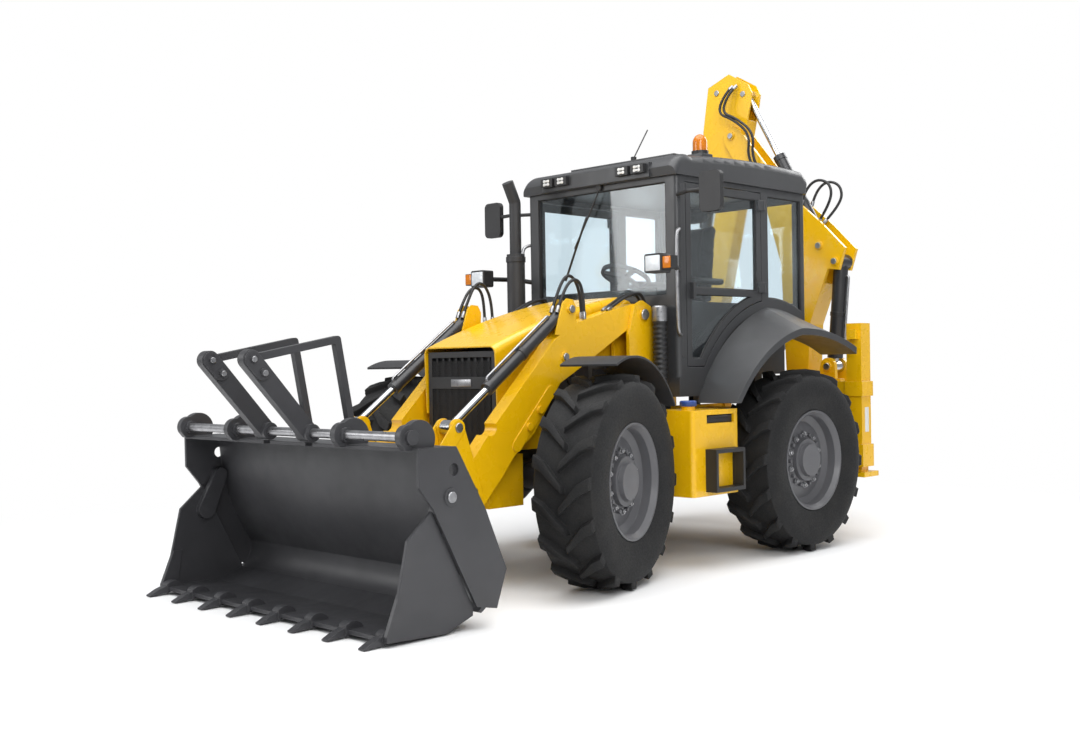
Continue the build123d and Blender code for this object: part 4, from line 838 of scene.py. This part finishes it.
# %% Four wheels
spin_axis = {joint["child"]: Vector(joint["axis"]) for joint in frame["record"]["behaviour"]["joints"]}
for corner in ("front_left", "front_right", "rear_left", "rear_right"):
    body = "wheel_" + corner
    axis = spin_axis[body]
    outward = axis if middle_of("tyre_" + corner).y > 0 else -axis
    turn_round = math.atan2(-outward.x, outward.y)
    wheel_place = Matrix.Translation(middle_of("tyre_" + corner)) @ Matrix.Rotation(turn_round, 4, "Z")
    tyre_here, nuts_here = tyre_pattern.copy(), nut_pattern.copy()
    tyre_here.transform(wheel_place)
    nuts_here.transform(wheel_place)
    tyre = deliver("tyre_tread_" + corner, tyre_here, black_rubber, body)
    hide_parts("tyre_" + corner)
    deliver("wheel_nuts_" + corner, nuts_here, steel, body)
print("wheels dressed:", len([body for body in spin_axis if body.startswith("wheel_")]))

# %% [markdown]
# ## A tree for wires
# A grille of woven wire has hundreds of equal wires. A second Geometry Nodes tree turns
# any edges into wires: Mesh to Curve, then Curve to Mesh with a small round profile.

# %% A Geometry Nodes tree for wires
def wire_tree():
    """Tree that turns the edges of its geometry into wires."""
    tree = bpy.data.node_groups.new("edges_to_wires", "GeometryNodeTree")
    tree.interface.new_socket("Geometry", in_out="INPUT", socket_type="NodeSocketGeometry")
    thick = tree.interface.new_socket("Wire radius", in_out="INPUT", socket_type="NodeSocketFloat")
    finish = tree.interface.new_socket("Finish", in_out="INPUT", socket_type="NodeSocketMaterial")
    tree.interface.new_socket("Geometry", in_out="OUTPUT", socket_type="NodeSocketGeometry")
    nodes, links = tree.nodes, tree.links
    entry = nodes.new("NodeGroupInput")
    lines = nodes.new("GeometryNodeMeshToCurve")
    links.new(entry.outputs["Geometry"], lines.inputs["Mesh"])
    round_wire = nodes.new("GeometryNodeCurvePrimitiveCircle")
    round_wire.inputs["Resolution"].default_value = 5
    links.new(entry.outputs["Wire radius"], round_wire.inputs["Radius"])
    wires = nodes.new("GeometryNodeCurveToMesh")
    links.new(lines.outputs[0], wires.inputs["Curve"])
    links.new(round_wire.outputs[0], wires.inputs["Profile Curve"])
    real = nodes.new("GeometryNodeRealizeInstances")
    links.new(wires.outputs[0], real.inputs[0])
    dress = nodes.new("GeometryNodeSetMaterial")
    links.new(real.outputs[0], dress.inputs["Geometry"])
    links.new(entry.outputs["Finish"], dress.inputs["Material"])
    leave = nodes.new("NodeGroupOutput")
    links.new(dress.outputs[0], leave.inputs[0])
    return tree, thick.identifier, finish.identifier


WIRE_TREE, WIRE_RADIUS, WIRE_FINISH = wire_tree()
print("tree nodes:", len(WIRE_TREE.nodes))

# %% [markdown]
# ## Grille
# The grille is a fine black mesh behind a frame. Its edges run from each point to two
# points of the next row, and every other row is moved by half a step, which gives the
# diamonds. A small blank plate sits on it.

# %% Wire mesh of the grille
MESH_PITCH = 0.016
MESH_STATION = 2.558
MESH_HALF = 0.298
MESH_LOW, MESH_HIGH = 0.902, 1.498
MESH_WIRE_RADIUS = 0.0022
columns = int(2 * MESH_HALF / MESH_PITCH)
rows = int((MESH_HIGH - MESH_LOW) / MESH_PITCH)
spots = []
for row in range(rows):
    for column in range(columns):
        across = -MESH_HALF + (column + 0.5 * (row % 2)) * MESH_PITCH
        spots.append(tuple(at(MESH_STATION, across, MESH_LOW + row * MESH_PITCH)))
wires = []
for row in range(rows - 1):
    for column in range(columns):
        here = row * columns + column
        slant = -1 if row % 2 == 0 else 1
        wires.append((here, here + columns))
        if 0 <= column + slant < columns:
            wires.append((here, here + columns + slant))
wire_plan = bpy.data.meshes.new("wire_plan")
wire_plan.from_pydata(spots, wires, [])
holder = bpy.data.objects.new("wire_holder", wire_plan)
bpy.context.scene.collection.objects.link(holder)
modifier = holder.modifiers.new("wires", "NODES")
modifier.node_group = WIRE_TREE
modifier[WIRE_RADIUS] = MESH_WIRE_RADIUS
modifier[WIRE_FINISH] = black_plastic
deliver("grille_mesh", applied(holder), black_plastic, "chassis")
badge = block_at((2.563, 2.572), (-0.10, 0.10), (1.305, 1.355), 0.004)
deliver("grille_badge_blank", badge, steel, "chassis")
print("wires in the grille:", len(wires))

# %% [markdown]
# ## Glass seals
# Each pane sits in a rubber seal. The seal's route is read from the pane itself: the
# border of its outer face is a closed line, and a thin tube follows it.

# %% Seals round the panes
def pane_borders(node, axis, side):
    """Closed lines of points round the faces of a node that look along an axis."""
    mesh = nodes_of_machine[node].data
    looking = [face for face in mesh.polygons if face.normal[axis] * side > 0.99]
    uses = {}
    for face in looking:
        for key in face.edge_keys:
            spots = tuple(sorted(tuple(round(c, 5) for c in mesh.vertices[v].co) for v in key))
            uses[spots] = uses.get(spots, 0) + 1
    after = {}
    for first, second in (spots for spots, count in uses.items() if count == 1):
        after.setdefault(first, []).append(second)
        after.setdefault(second, []).append(first)
    borders = []
    while after:
        start = next(iter(after))
        line, here = [start], start
        while after.get(here):
            following = after[here].pop()
            after[following].remove(here)
            if following == start:
                break
            line.append(following)
            here = following
        after = {spot: rest for spot, rest in after.items() if rest}
        borders.append([Vector(spot) for spot in line])
    return borders


SEAL_RADIUS = 0.011
OUTER_FACE = 0.5
seals = {
    "chassis": [("cab_glass", axis, side) for axis in (0, 1) for side in (1, -1)],
    "door_left": [("door_left_glass", 1, 1)],
    "door_right": [("door_right_glass", 1, -1)],
}
for body, panes in seals.items():
    tubes = []
    for node, axis, side in panes:
        for border in pane_borders(node, axis, side):
            outer = abs(border[0][axis] - middle_of("cab_frame")[axis]) > OUTER_FACE
            if len(border) > 3 and outer:
                tubes.append(tube(border, SEAL_RADIUS, closed=True, curved=False))
    deliver("glass_seals_" + body, joined(tubes), seal_rubber, body, 60)
    print("seals on", body, len(tubes))

# %% [markdown]
# ## Lamps and mirrors
# The lamps' housings are solids, so only their faces are added here: thin blocks of
# clear, amber and red plastic that stand a little proud. The work lights under the roof
# show rows of bright diodes, and the beacon's dome is turned. The mirrors get a bright
# face in the same way, a pale grey paint that is a painted reflection.

# %% Lamp lenses, beacon and mirrors
# Each block: two stations, two distances across, two heights, radius of its edges
HEAD_LAMP = ((1.598, 1.608), (0.818, 0.942), (2.068, 2.172), 0.008)
FRONT_INDICATOR = ((1.588, 1.598), (0.960, 1.026), (2.080, 2.160), 0.008)
REAR_LAMP = ((-0.966, -0.956), (0.966, 1.040), (0.990, 1.072), 0.006)
REAR_INDICATOR = ((-0.966, -0.956), (0.966, 1.040), (0.908, 0.984), 0.006)
INNER_REAR_LIGHT = ((-0.576, -0.569), (0.357, 0.457), (2.822, 2.883), 0.003)
OUTER_REAR_LIGHT = ((-0.576, -0.569), (0.506, 0.606), (2.822, 2.883), 0.003)
MIRROR_GLASS = ((1.191, 1.196), (1.012, 1.168), (2.492, 2.748), 0.03)
WORK_LIGHTS_ACROSS = (0.307, 0.456)
DIODE_STATION = 1.2515
DIODE_HEIGHTS = (2.8355, 2.8605)
# Columns of diodes: distance from the middle of the light, radius
DIODE_COLUMNS = [(-0.021, 0.0115), (0.021, 0.0115), (-0.0063, 0.0085), (0.0063, 0.0085)]
DIODE_OUT = 0.005
DOME_HEIGHT = 0.126
DOME_PROFILE = [(0, 0.054), (0.50, 0.054), (0.62, 0.0525), (0.76, 0.0455), (0.88, 0.034),
                (0.96, 0.0195), (1, 0.004)]
BOTH_HANDS = (1, -1)


def on_both_hands(*spans):
    """Meshes of blocks on the left and on the right of the machine."""
    return [block_at(*span, hand) for span in spans for hand in BOTH_HANDS]


clear_parts = on_both_hands(HEAD_LAMP, INNER_REAR_LIGHT, OUTER_REAR_LIGHT)
amber_parts = on_both_hands(FRONT_INDICATOR, REAR_INDICATOR)
dome_foot = at(0.740, 0.640, 3.005)
dome_top = dome_foot + Vector((0, 0, DOME_HEIGHT))
amber_parts.append(turned(dome_foot, dome_top, DOME_PROFILE, 48))
diodes = []
for light in [hand * across for hand in BOTH_HANDS for across in WORK_LIGHTS_ACROSS]:
    for column, radius in DIODE_COLUMNS:
        for height in DIODE_HEIGHTS:
            foot = at(DIODE_STATION, light + column, height)
            diodes.append(pin_head(foot, (1, 0, 0), radius, DIODE_OUT))
deliver("lamp_lenses", joined(clear_parts), lamp_lens, "chassis")
deliver("amber_lenses", joined(amber_parts), amber_lens, "chassis")
deliver("red_lenses", joined(on_both_hands(REAR_LAMP)), red_lens, "chassis")
deliver("work_light_leds", joined(diodes), plate_white, "chassis")
deliver("mirror_faces_painted_reflection", joined(on_both_hands(MIRROR_GLASS)), mirror_painted_reflection, "chassis")
print("diodes:", len(diodes))

# %% [markdown]
# ## Wiper and grab rails
# A wiper hangs from the middle of the windscreen's top edge, and grab rails run up the
# front pillars. Both are bent round bars, so a tube along a few points is enough.

# %% Wiper and grab rails
WIPER_ARM = [(1.172, 0.02, 2.760), (1.176, 0.0, 2.700), (1.168, -0.16, 2.460), (1.160, -0.25, 2.330)]
WIPER_BLADE = [(1.150, -0.13, 2.560), (1.156, -0.245, 2.325), (1.150, -0.36, 2.090)]
GRAB_RAIL = [(1.135, 0.745, 1.640), (1.195, 0.775, 1.645), (1.200, 0.775, 1.760), (1.205, 0.775, 2.060),
             (1.205, 0.775, 2.280), (1.200, 0.775, 2.390), (1.135, 0.745, 2.395)]
WIPER_ARM_RADIUS, WIPER_BLADE_RADIUS, RAIL_RADIUS = 0.007, 0.009, 0.013
wiper_hub = pin_head(at(1.160, 0.02, 2.765), (1, 0, 0), 0.026, 0.024)
wiper_arm = tube(route_at(WIPER_ARM), WIPER_ARM_RADIUS)
wiper_blade = tube(route_at(WIPER_BLADE), WIPER_BLADE_RADIUS)
wiper = joined([wiper_arm, wiper_hub, wiper_blade])
deliver("windscreen_wiper", wiper, black_plastic, "chassis")
rails = [tube(route_at(GRAB_RAIL, hand), RAIL_RADIUS) for hand in BOTH_HANDS]
deliver("pillar_grab_rails", joined(rails), steel, "chassis")
print("rails:", len(rails))

# %% [markdown]
# ## Caps, handles and plates
# The tanks beside the steps have filler caps and a recessed handle each, and the rear
# frame carries two plates, which stay blank.

# %% Caps, handles and plates
CAP_ENDS = [(1.210, 0.860, 1.136), (1.210, 0.860, 1.176)]
CAP_PROFILE = [(0, 0.056), (0.2, 0.060), (0.8, 0.060), (1, 0.052)]
TANK_RECESS = ((0.852, 1.168), (0.9625, 0.972), (1.017, 1.073), 0.003)
TANK_HANDLE = [(0.875, 0.974, 1.062), (0.95, 0.986, 1.060), (1.07, 0.986, 1.060), (1.145, 0.974, 1.062)]
REAR_PLATE = ((-0.890, -0.830), (1.069, 1.0725), (0.86, 1.06), 0.0015)
HANDLE_RADIUS = 0.008
caps = [turned(*route_at(CAP_ENDS, hand), CAP_PROFILE, 32) for hand in BOTH_HANDS]
deliver("filler_caps", joined(caps), cap_blue, "chassis")
handles = on_both_hands(TANK_RECESS)
handles += [tube(route_at(TANK_HANDLE, hand), HANDLE_RADIUS) for hand in BOTH_HANDS]
deliver("tank_handles", joined(handles), black_plastic, "chassis")
deliver("blank_plates", joined(on_both_hands(REAR_PLATE)), plate_white, "chassis")
print("caps:", len(caps))

# %% [markdown]
# ## Pins
# Bright pin heads show where the machine is jointed. A ray shot at a solid from
# outside finds its skin, so each head stands on the plate that carries it, whatever
# the plate's thickness. The loader's pins lie across the machine, the hoe's along it,
# because the hoe is stowed sideways.

# %% Pin heads of the loader and the hoe
PIN_OUT = 0.010
SIDE_REACH = 1.5
HOE_STATION = -1.290
ACROSS = Vector((0, 1, 0))
ALONG = Vector((1, 0, 0))
# Pins of the loader: station, height, radius
loader_pins = {
    "loader_arms": [(2.045, 1.815, 0.026), (2.110, 1.494, 0.026)],
    "tilt_links": [(3.085, 1.068, 0.030)],
    "tilt_levers": [(2.960, 0.660, 0.034)],
    "bucket_back": [(3.230, 0.330, 0.032), (3.725, 0.744, 0.030)],
    "main_frame": [(1.330, 1.790, 0.040)],
}
# Pins of the hoe: distance across, height, radius
hoe_pins = {
    "boom": [(-0.457, 3.508, 0.026), (0.448, 2.436, 0.026), (0.600, 2.290, 0.026)],
    "dipper": [(-0.345, 3.880, 0.026), (-0.636, 3.934, 0.026), (-0.790, 1.790, 0.030)],
    "swing_post": [(0.215, 1.010, 0.034), (0.520, 1.390, 0.030)],
}
bodies = frame["record"]["behaviour"]["bodies"]
body_of_node = {node: body for body, members in bodies.items() for node in members}


def pins_on(node, spots, direction, height):
    """Deliver pin heads on both sides of a solid, from (point on the pin's line, radius) pairs."""
    heads = []
    for spot, radius in spots:
        for side in (1, -1):
            outward = direction * side
            hit, skin, _, _ = nodes_of_machine[node].ray_cast(spot + outward * SIDE_REACH, -outward)
            if hit:
                heads.append(pin_head(skin, outward, radius, height))
    deliver("pin_heads_" + node, joined(heads), steel, body_of_node[node])
    print("pins on", node, len(heads))


for node, pins in loader_pins.items():
    spots = [(at(station, 0, height), radius) for station, height, radius in pins]
    pins_on(node, spots, ACROSS, PIN_OUT)
for node, pins in hoe_pins.items():
    spots = [(at(HOE_STATION, across, height), radius) for across, height, radius in pins]
    pins_on(node, spots, ALONG, PIN_OUT)

# %% [markdown]
# ## Fork shaft
# The forks hang on a bright bar along the top of the shovel. It shows only between
# the plates and the forks that it passes through, so it is turned in five pieces. Each
# fork has two pins of its own.

# %% Fork shaft and fork pins
SHAFT_STATION, SHAFT_HEIGHT, SHAFT_RADIUS = 3.951, 1.072, 0.0268
SHAFT_END, SHAFT_END_RADIUS, SHAFT_END_OUT = 1.160, 0.026, 0.005
SHAFT_SPANS = [(-1.088, -0.607), (-0.513, -0.277), (-0.163, 0.163), (0.277, 0.513), (0.607, 1.088)]
FORK_PINS = [(4.330, 1.500), (4.261, 1.4215)]
FORK_PIN_RADIUS, FORK_PIN_OUT = 0.017, 0.006
shaft = []
for low, high in SHAFT_SPANS:
    ends = [at(SHAFT_STATION, across, SHAFT_HEIGHT) for across in (low, high)]
    shaft.append(turned(*ends, [(0, SHAFT_RADIUS), (1, SHAFT_RADIUS)]))
for hand in BOTH_HANDS:
    end = at(SHAFT_STATION, hand * SHAFT_END, SHAFT_HEIGHT)
    shaft.append(pin_head(end, (0, hand, 0), SHAFT_END_RADIUS, SHAFT_END_OUT))
deliver("fork_shaft_steel", joined(shaft), steel, "bucket_back")
for fork in ("fork_left", "fork_right"):
    across = middle_of(fork).y
    spots = [(at(station, across, height), FORK_PIN_RADIUS) for station, height in FORK_PINS]
    pins_on(fork, spots, ACROSS, FORK_PIN_OUT)
print("shaft pieces:", len(shaft))

# %% [markdown]
# ## Ram pipes
# A steel pipe runs along a ram to its far end, held by a black band. Its route needs
# only distances along the ram and a direction to stand off in, so one helper serves
# the rams of the loader and of the hoe.

# %% Ram pipes and clamp bands
PIPE_SUNK, PIPE_CLEAR, PIPE_BEND = 0.004, 0.018, 0.04
BAND_HALF = 0.018
ARM_ACROSS = 0.474


def ram_pipe(base, tip, start, stop, away, radius, barrel):
    """Pipe beside a ram between two distances along it, with a clamp band in the middle."""
    run = (tip - base).normalized()
    away = Vector(away)
    away = (away - run * away.dot(run)).normalized()
    skin, clear = away * (barrel - PIPE_SUNK), away * (barrel + PIPE_CLEAR)
    stops = [base + run * far for far in (start, start + PIPE_BEND, stop - PIPE_BEND, stop)]
    route = [stops[0] + skin, *[spot + clear for spot in stops], stops[-1] + skin]
    middle = base + run * (start + stop) / 2
    inner, outer = barrel + 0.001, barrel + 0.005
    band = turned(middle - run * BAND_HALF, middle + run * BAND_HALF,
                  [(0, inner), (0.05, outer), (0.95, outer), (1, inner)])
    return tube(route, radius), band


pipes, bands = [], []
for hand in BOTH_HANDS:
    base, tip = route_at([(2.045, ARM_ACROSS, 1.815), (3.085, ARM_ACROSS, 1.068)], hand)
    pipe, band = ram_pipe(base, tip, start=0.16, stop=0.86, away=(0, 0, 1), radius=0.009, barrel=0.042)
    pipes.append(pipe)
    bands.append(band)
deliver("tilt_ram_pipes", joined(pipes), steel, "tilt_barrels")
deliver("tilt_ram_bands", joined(bands), black_plastic, "tilt_barrels")
base, tip = route_at([(HOE_STATION, 0.600, 2.290), (HOE_STATION, 0.520, 1.390)])
pipe, band = ram_pipe(base, tip, start=0.12, stop=0.78, away=(0, 1, 0), radius=0.012, barrel=0.062)
deliver("boom_ram_pipe", pipe, steel, "boom_barrel")
deliver("boom_ram_band", band, black_plastic, "boom_barrel")
print("ram pipes:", len(pipes) + 1)

# %% [markdown]
# ## Hoses
# A hose that crosses a joint has to bend with it. Here the hose itself rides on no
# body and keeps the shape it is made in. The steel ferrules at its ends stay stiff,
# so each rides on its own body.

# %% A helper for hoses
FERRULE_LENGTH = 0.05


def hose(name, route, radius, first, second):
    """Hose with steel ends, each end riding on one of two bodies."""
    piece = deliver(name, tube(route, radius), hose_rubber, None)
    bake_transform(piece)
    wide, narrow = radius * 1.35, radius * 1.1
    for end, (spot, towards), body in (("start", route[:2], first), ("end", route[:-3:-1], second)):
        top = spot + (towards - spot).normalized() * FERRULE_LENGTH
        ferrule = turned(spot, top, [(0, wide), (0.9, wide), (1, narrow)], 20)
        deliver(f"{name}_ferrule_{end}", ferrule, steel, body)
    return piece


print("helper ready: hose")

# %% [markdown]
# ## Hoses of the loader and the hoe
# The routes are listed, with slack on the outside of each bend, and repeated
# with a small shift for the second hose of a pair.

# %% Hoses that cross a joint
THIN, THICK = 0.011, 0.012
hoses = []
for side, hand in (("left", 1), ("right", -1)):
    for number, inset in enumerate((0.026, -0.026)):
        across = ARM_ACROSS + inset
        rise = 0.03 * number
        route = route_at([
            (2.150, across, 1.790), (2.100, across, 1.900), (2.020, across, 2.010 + rise),
            (1.930, across, 2.020 + rise), (1.885 - rise, across, 1.920), (1.880 - rise, across, 1.752),
        ], hand)
        hoses.append(hose(f"tilt_hose_{side}_{number}", route, THIN, "tilt_barrels", "loader_arms"))
    for number, across in enumerate((0.452, 0.496)):
        route = route_at([
            (1.230, across, 1.720), (1.215, across, 1.850), (1.270, across, 1.950),
            (1.390, across, 1.935), (1.520, across, 1.880), (1.640, across, 1.814),
        ], hand)
        hoses.append(hose(f"arm_hose_{side}_{number}", route, THIN, "chassis", "loader_arms"))
front = HOE_STATION + 0.128
for number, shift in enumerate((0.0, 0.045)):
    route = route_at([
        (front, -0.170 + shift, 3.130), (front + 0.03, -0.250 + shift, 3.270),
        (front + 0.05, -0.200 + shift, 3.480), (front + 0.05, -0.380 + shift, 3.640),
        (front + 0.05, -0.560 + shift, 3.720), (front + 0.03, -0.480 + shift, 3.900),
        (front - 0.03, -0.440 + shift, 3.960),
    ])
    hoses.append(hose(f"dipper_hose_{number}", route, THICK, "boom", "dipper"))
for number, beside in enumerate((0.085, -0.085)):
    station, last_station = HOE_STATION + beside, HOE_STATION + beside / 2
    route = route_at([
        (station, 0.260, 2.805), (station, 0.300, 2.930), (station, 0.420, 3.020),
        (station, 0.560, 2.960), (station, 0.560, 2.800), (last_station, 0.400, 2.640),
    ])
    hoses.append(hose(f"knee_hose_{number}", route, THICK, "boom", "dipper_barrel"))
print("hoses:", len(hoses))

# %% [markdown]
# ## Air intake
# Between hood and cab a ribbed pipe leads air to the engine. Its ribs are a profile
# that steps out and in as it is turned, two points on each crest and two in each valley.

# %% Ribbed intake pipe
INTAKE_FOOT = at(1.240, 0.640, 1.300)
INTAKE_HEAD = at(1.240, 0.640, 1.800)
RIBS = 14
RIB_CREST, RIB_VALLEY = 0.052, 0.0442
COLLAR_PROFILE = [(0, 0.053), (0.1, 0.056), (0.9, 0.056), (1, 0.046)]
rib_profile = []
for step in range(4 * RIBS + 1):
    rib_profile.append((step / (4 * RIBS), RIB_CREST if step % 4 < 2 else RIB_VALLEY))
intake = turned(INTAKE_FOOT, INTAKE_HEAD, rib_profile)
deliver("intake_pipe", intake, hose_rubber, "chassis", 70)
collar_foot = INTAKE_HEAD - Vector((0, 0, 0.06))
collar_head = INTAKE_HEAD + Vector((0, 0, 0.05))
collar = turned(collar_foot, collar_head, COLLAR_PROFILE)
deliver("intake_collar", collar, steel, "chassis")
print("ribs on the intake:", RIBS)

# %% [markdown]
# ## The seat's flat pads
# Cushion, back and head rest are drawn from the side, as a maker would cut the foam,
# and given their width. Remeshing turns the three forms into one even skin, which a
# cloth simulation needs.

# %% Flat pads of the seat
PAD_BEVEL = 0.014
PAD_VOXEL = 0.006
CUSHION_HALF, BACK_HALF, HEAD_HALF = 0.228, 0.208, 0.112
CUSHION_SIDE = [(0.085, 1.815), (0.085, 1.915), (0.500, 1.915), (0.535, 1.880), (0.530, 1.815)]
BACK_SIDE = [(0.040, 1.925), (0.004, 2.100), (-0.022, 2.300), (-0.040, 2.520), (-0.002, 2.562),
             (0.036, 2.520), (0.066, 2.380), (0.092, 2.200), (0.128, 1.930)]
HEAD_SIDE = [(-0.040, 2.585), (-0.056, 2.640), (-0.036, 2.690), (0.010, 2.682), (0.020, 2.630),
             (0.010, 2.580)]


def prism(side_outline, half):
    """Closed form from an outline seen from the side."""
    form = bmesh.new()
    left = [form.verts.new(at(station, half, height)) for station, height in side_outline]
    right = [form.verts.new(at(station, -half, height)) for station, height in side_outline]
    form.faces.new(left)
    form.faces.new(right[::-1])
    for step in range(len(left)):
        after = (step + 1) % len(left)
        form.faces.new((left[after], left[step], right[step], right[after]))
    bmesh.ops.recalc_face_normals(form, faces=form.faces[:])
    bmesh.ops.bevel(form, geom=form.edges[:], offset=PAD_BEVEL, segments=2, profile=0.5, affect="EDGES")
    mesh = bpy.data.meshes.new("prism")
    form.to_mesh(mesh)
    form.free()
    return mesh


def remeshed(mesh, voxel):
    """Mesh with an even skin of small faces."""
    holder = bpy.data.objects.new("remeshed", mesh)
    bpy.context.scene.collection.objects.link(holder)
    modifier = holder.modifiers.new("remesh", "REMESH")
    modifier.mode = "VOXEL"
    modifier.voxel_size = voxel
    return applied(holder)


flat_pads = [prism(CUSHION_SIDE, CUSHION_HALF), prism(BACK_SIDE, BACK_HALF), prism(HEAD_SIDE, HEAD_HALF)]
pads = remeshed(joined(flat_pads), PAD_VOXEL)
print("points on the pads:", len(pads.vertices))

# %% [markdown]
# ## Blowing the pads up
# A seat looks soft because foam pushes its cover out from inside. The pads were made a
# little small and flat, and Blender's Cloth blows them up for twenty frames. No point
# may move further than a cap, so the pads keep their size, and the result is kept as a
# plain mesh.

# %% Pads blown up by cloth pressure
PAD_CAP = 0.022
PAD_FRAMES = 20
PAD_PRESSURE = 4.0


def blown_up(mesh):
    """Mesh swollen by cloth pressure, each point moving no further than the cap."""
    holder = bpy.data.objects.new("pads", mesh)
    bpy.context.scene.collection.objects.link(holder)
    cloth = holder.modifiers.new("cloth", "CLOTH")
    cloth.settings.use_pressure = True
    cloth.settings.uniform_pressure_force = PAD_PRESSURE
    cloth.settings.effector_weights.gravity = 0.0
    cloth.point_cache.frame_start = 1
    cloth.point_cache.frame_end = PAD_FRAMES
    for number in range(1, PAD_FRAMES + 1):
        bpy.context.scene.frame_set(number)
    flat = [vertex.co.copy() for vertex in mesh.vertices]
    swollen = applied(holder)
    for vertex, start in zip(swollen.vertices, flat):
        move = vertex.co - start
        if move.length > PAD_CAP:
            vertex.co = start + move * (PAD_CAP / move.length)
    bpy.context.scene.frame_set(1)
    return swollen


pads = blown_up(pads)
print("highest point of the pads, metres:", round(max(vertex.co.z for vertex in pads.vertices), 3))

# %% [markdown]
# ## Seams and seat base
# Two seams run up the cushion and the back. Pressing in the points near them along
# their normals is simpler than sewing, and looks the same at this distance. The base,
# the arm rests and the head rest's posts are plain blocks and tubes.

# %% Seams and seat base
SEAM_ACROSS, SEAM_HALF, SEAM_DEPTH, SEAM_TOP = 0.125, 0.012, 0.007, 2.56
SEAT_BOX = ((0.160, 0.460), (-0.180, 0.180), (1.400, 1.812), 0.02)
ARM_REST = ((0.020, 0.400), (0.236, 0.320), (2.060, 2.110), 0.022)
ARM_REST_PIVOT = [(0.030, 0.215, 2.085), (0.030, 0.250, 2.085)]
PIVOT_RADIUS, POST_RADIUS = 0.018, 0.008
HEAD_REST_POST = [(-0.015, 0.06, 2.54), (-0.016, 0.06, 2.61)]
pads.update()
normals = [vertex.normal.copy() for vertex in pads.vertices]
for vertex, normal in zip(pads.vertices, normals):
    closeness = 1 - abs(abs(vertex.co.y) - SEAM_ACROSS) / SEAM_HALF
    if closeness > 0 and vertex.co.z < SEAM_TOP:
        vertex.co -= normal * SEAM_DEPTH * closeness
seat_pads = deliver("seat_pads", pads, woven_cloth, "chassis", 180)
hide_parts("seat")
base_parts = [block_at(*SEAT_BOX), *on_both_hands(ARM_REST)]
for hand in BOTH_HANDS:
    base_parts.append(tube(route_at(ARM_REST_PIVOT, hand), PIVOT_RADIUS))
    base_parts.append(tube(route_at(HEAD_REST_POST, hand), POST_RADIUS))
deliver("seat_base", joined(base_parts), black_plastic, "chassis")
print("parts of the seat base:", len(base_parts))
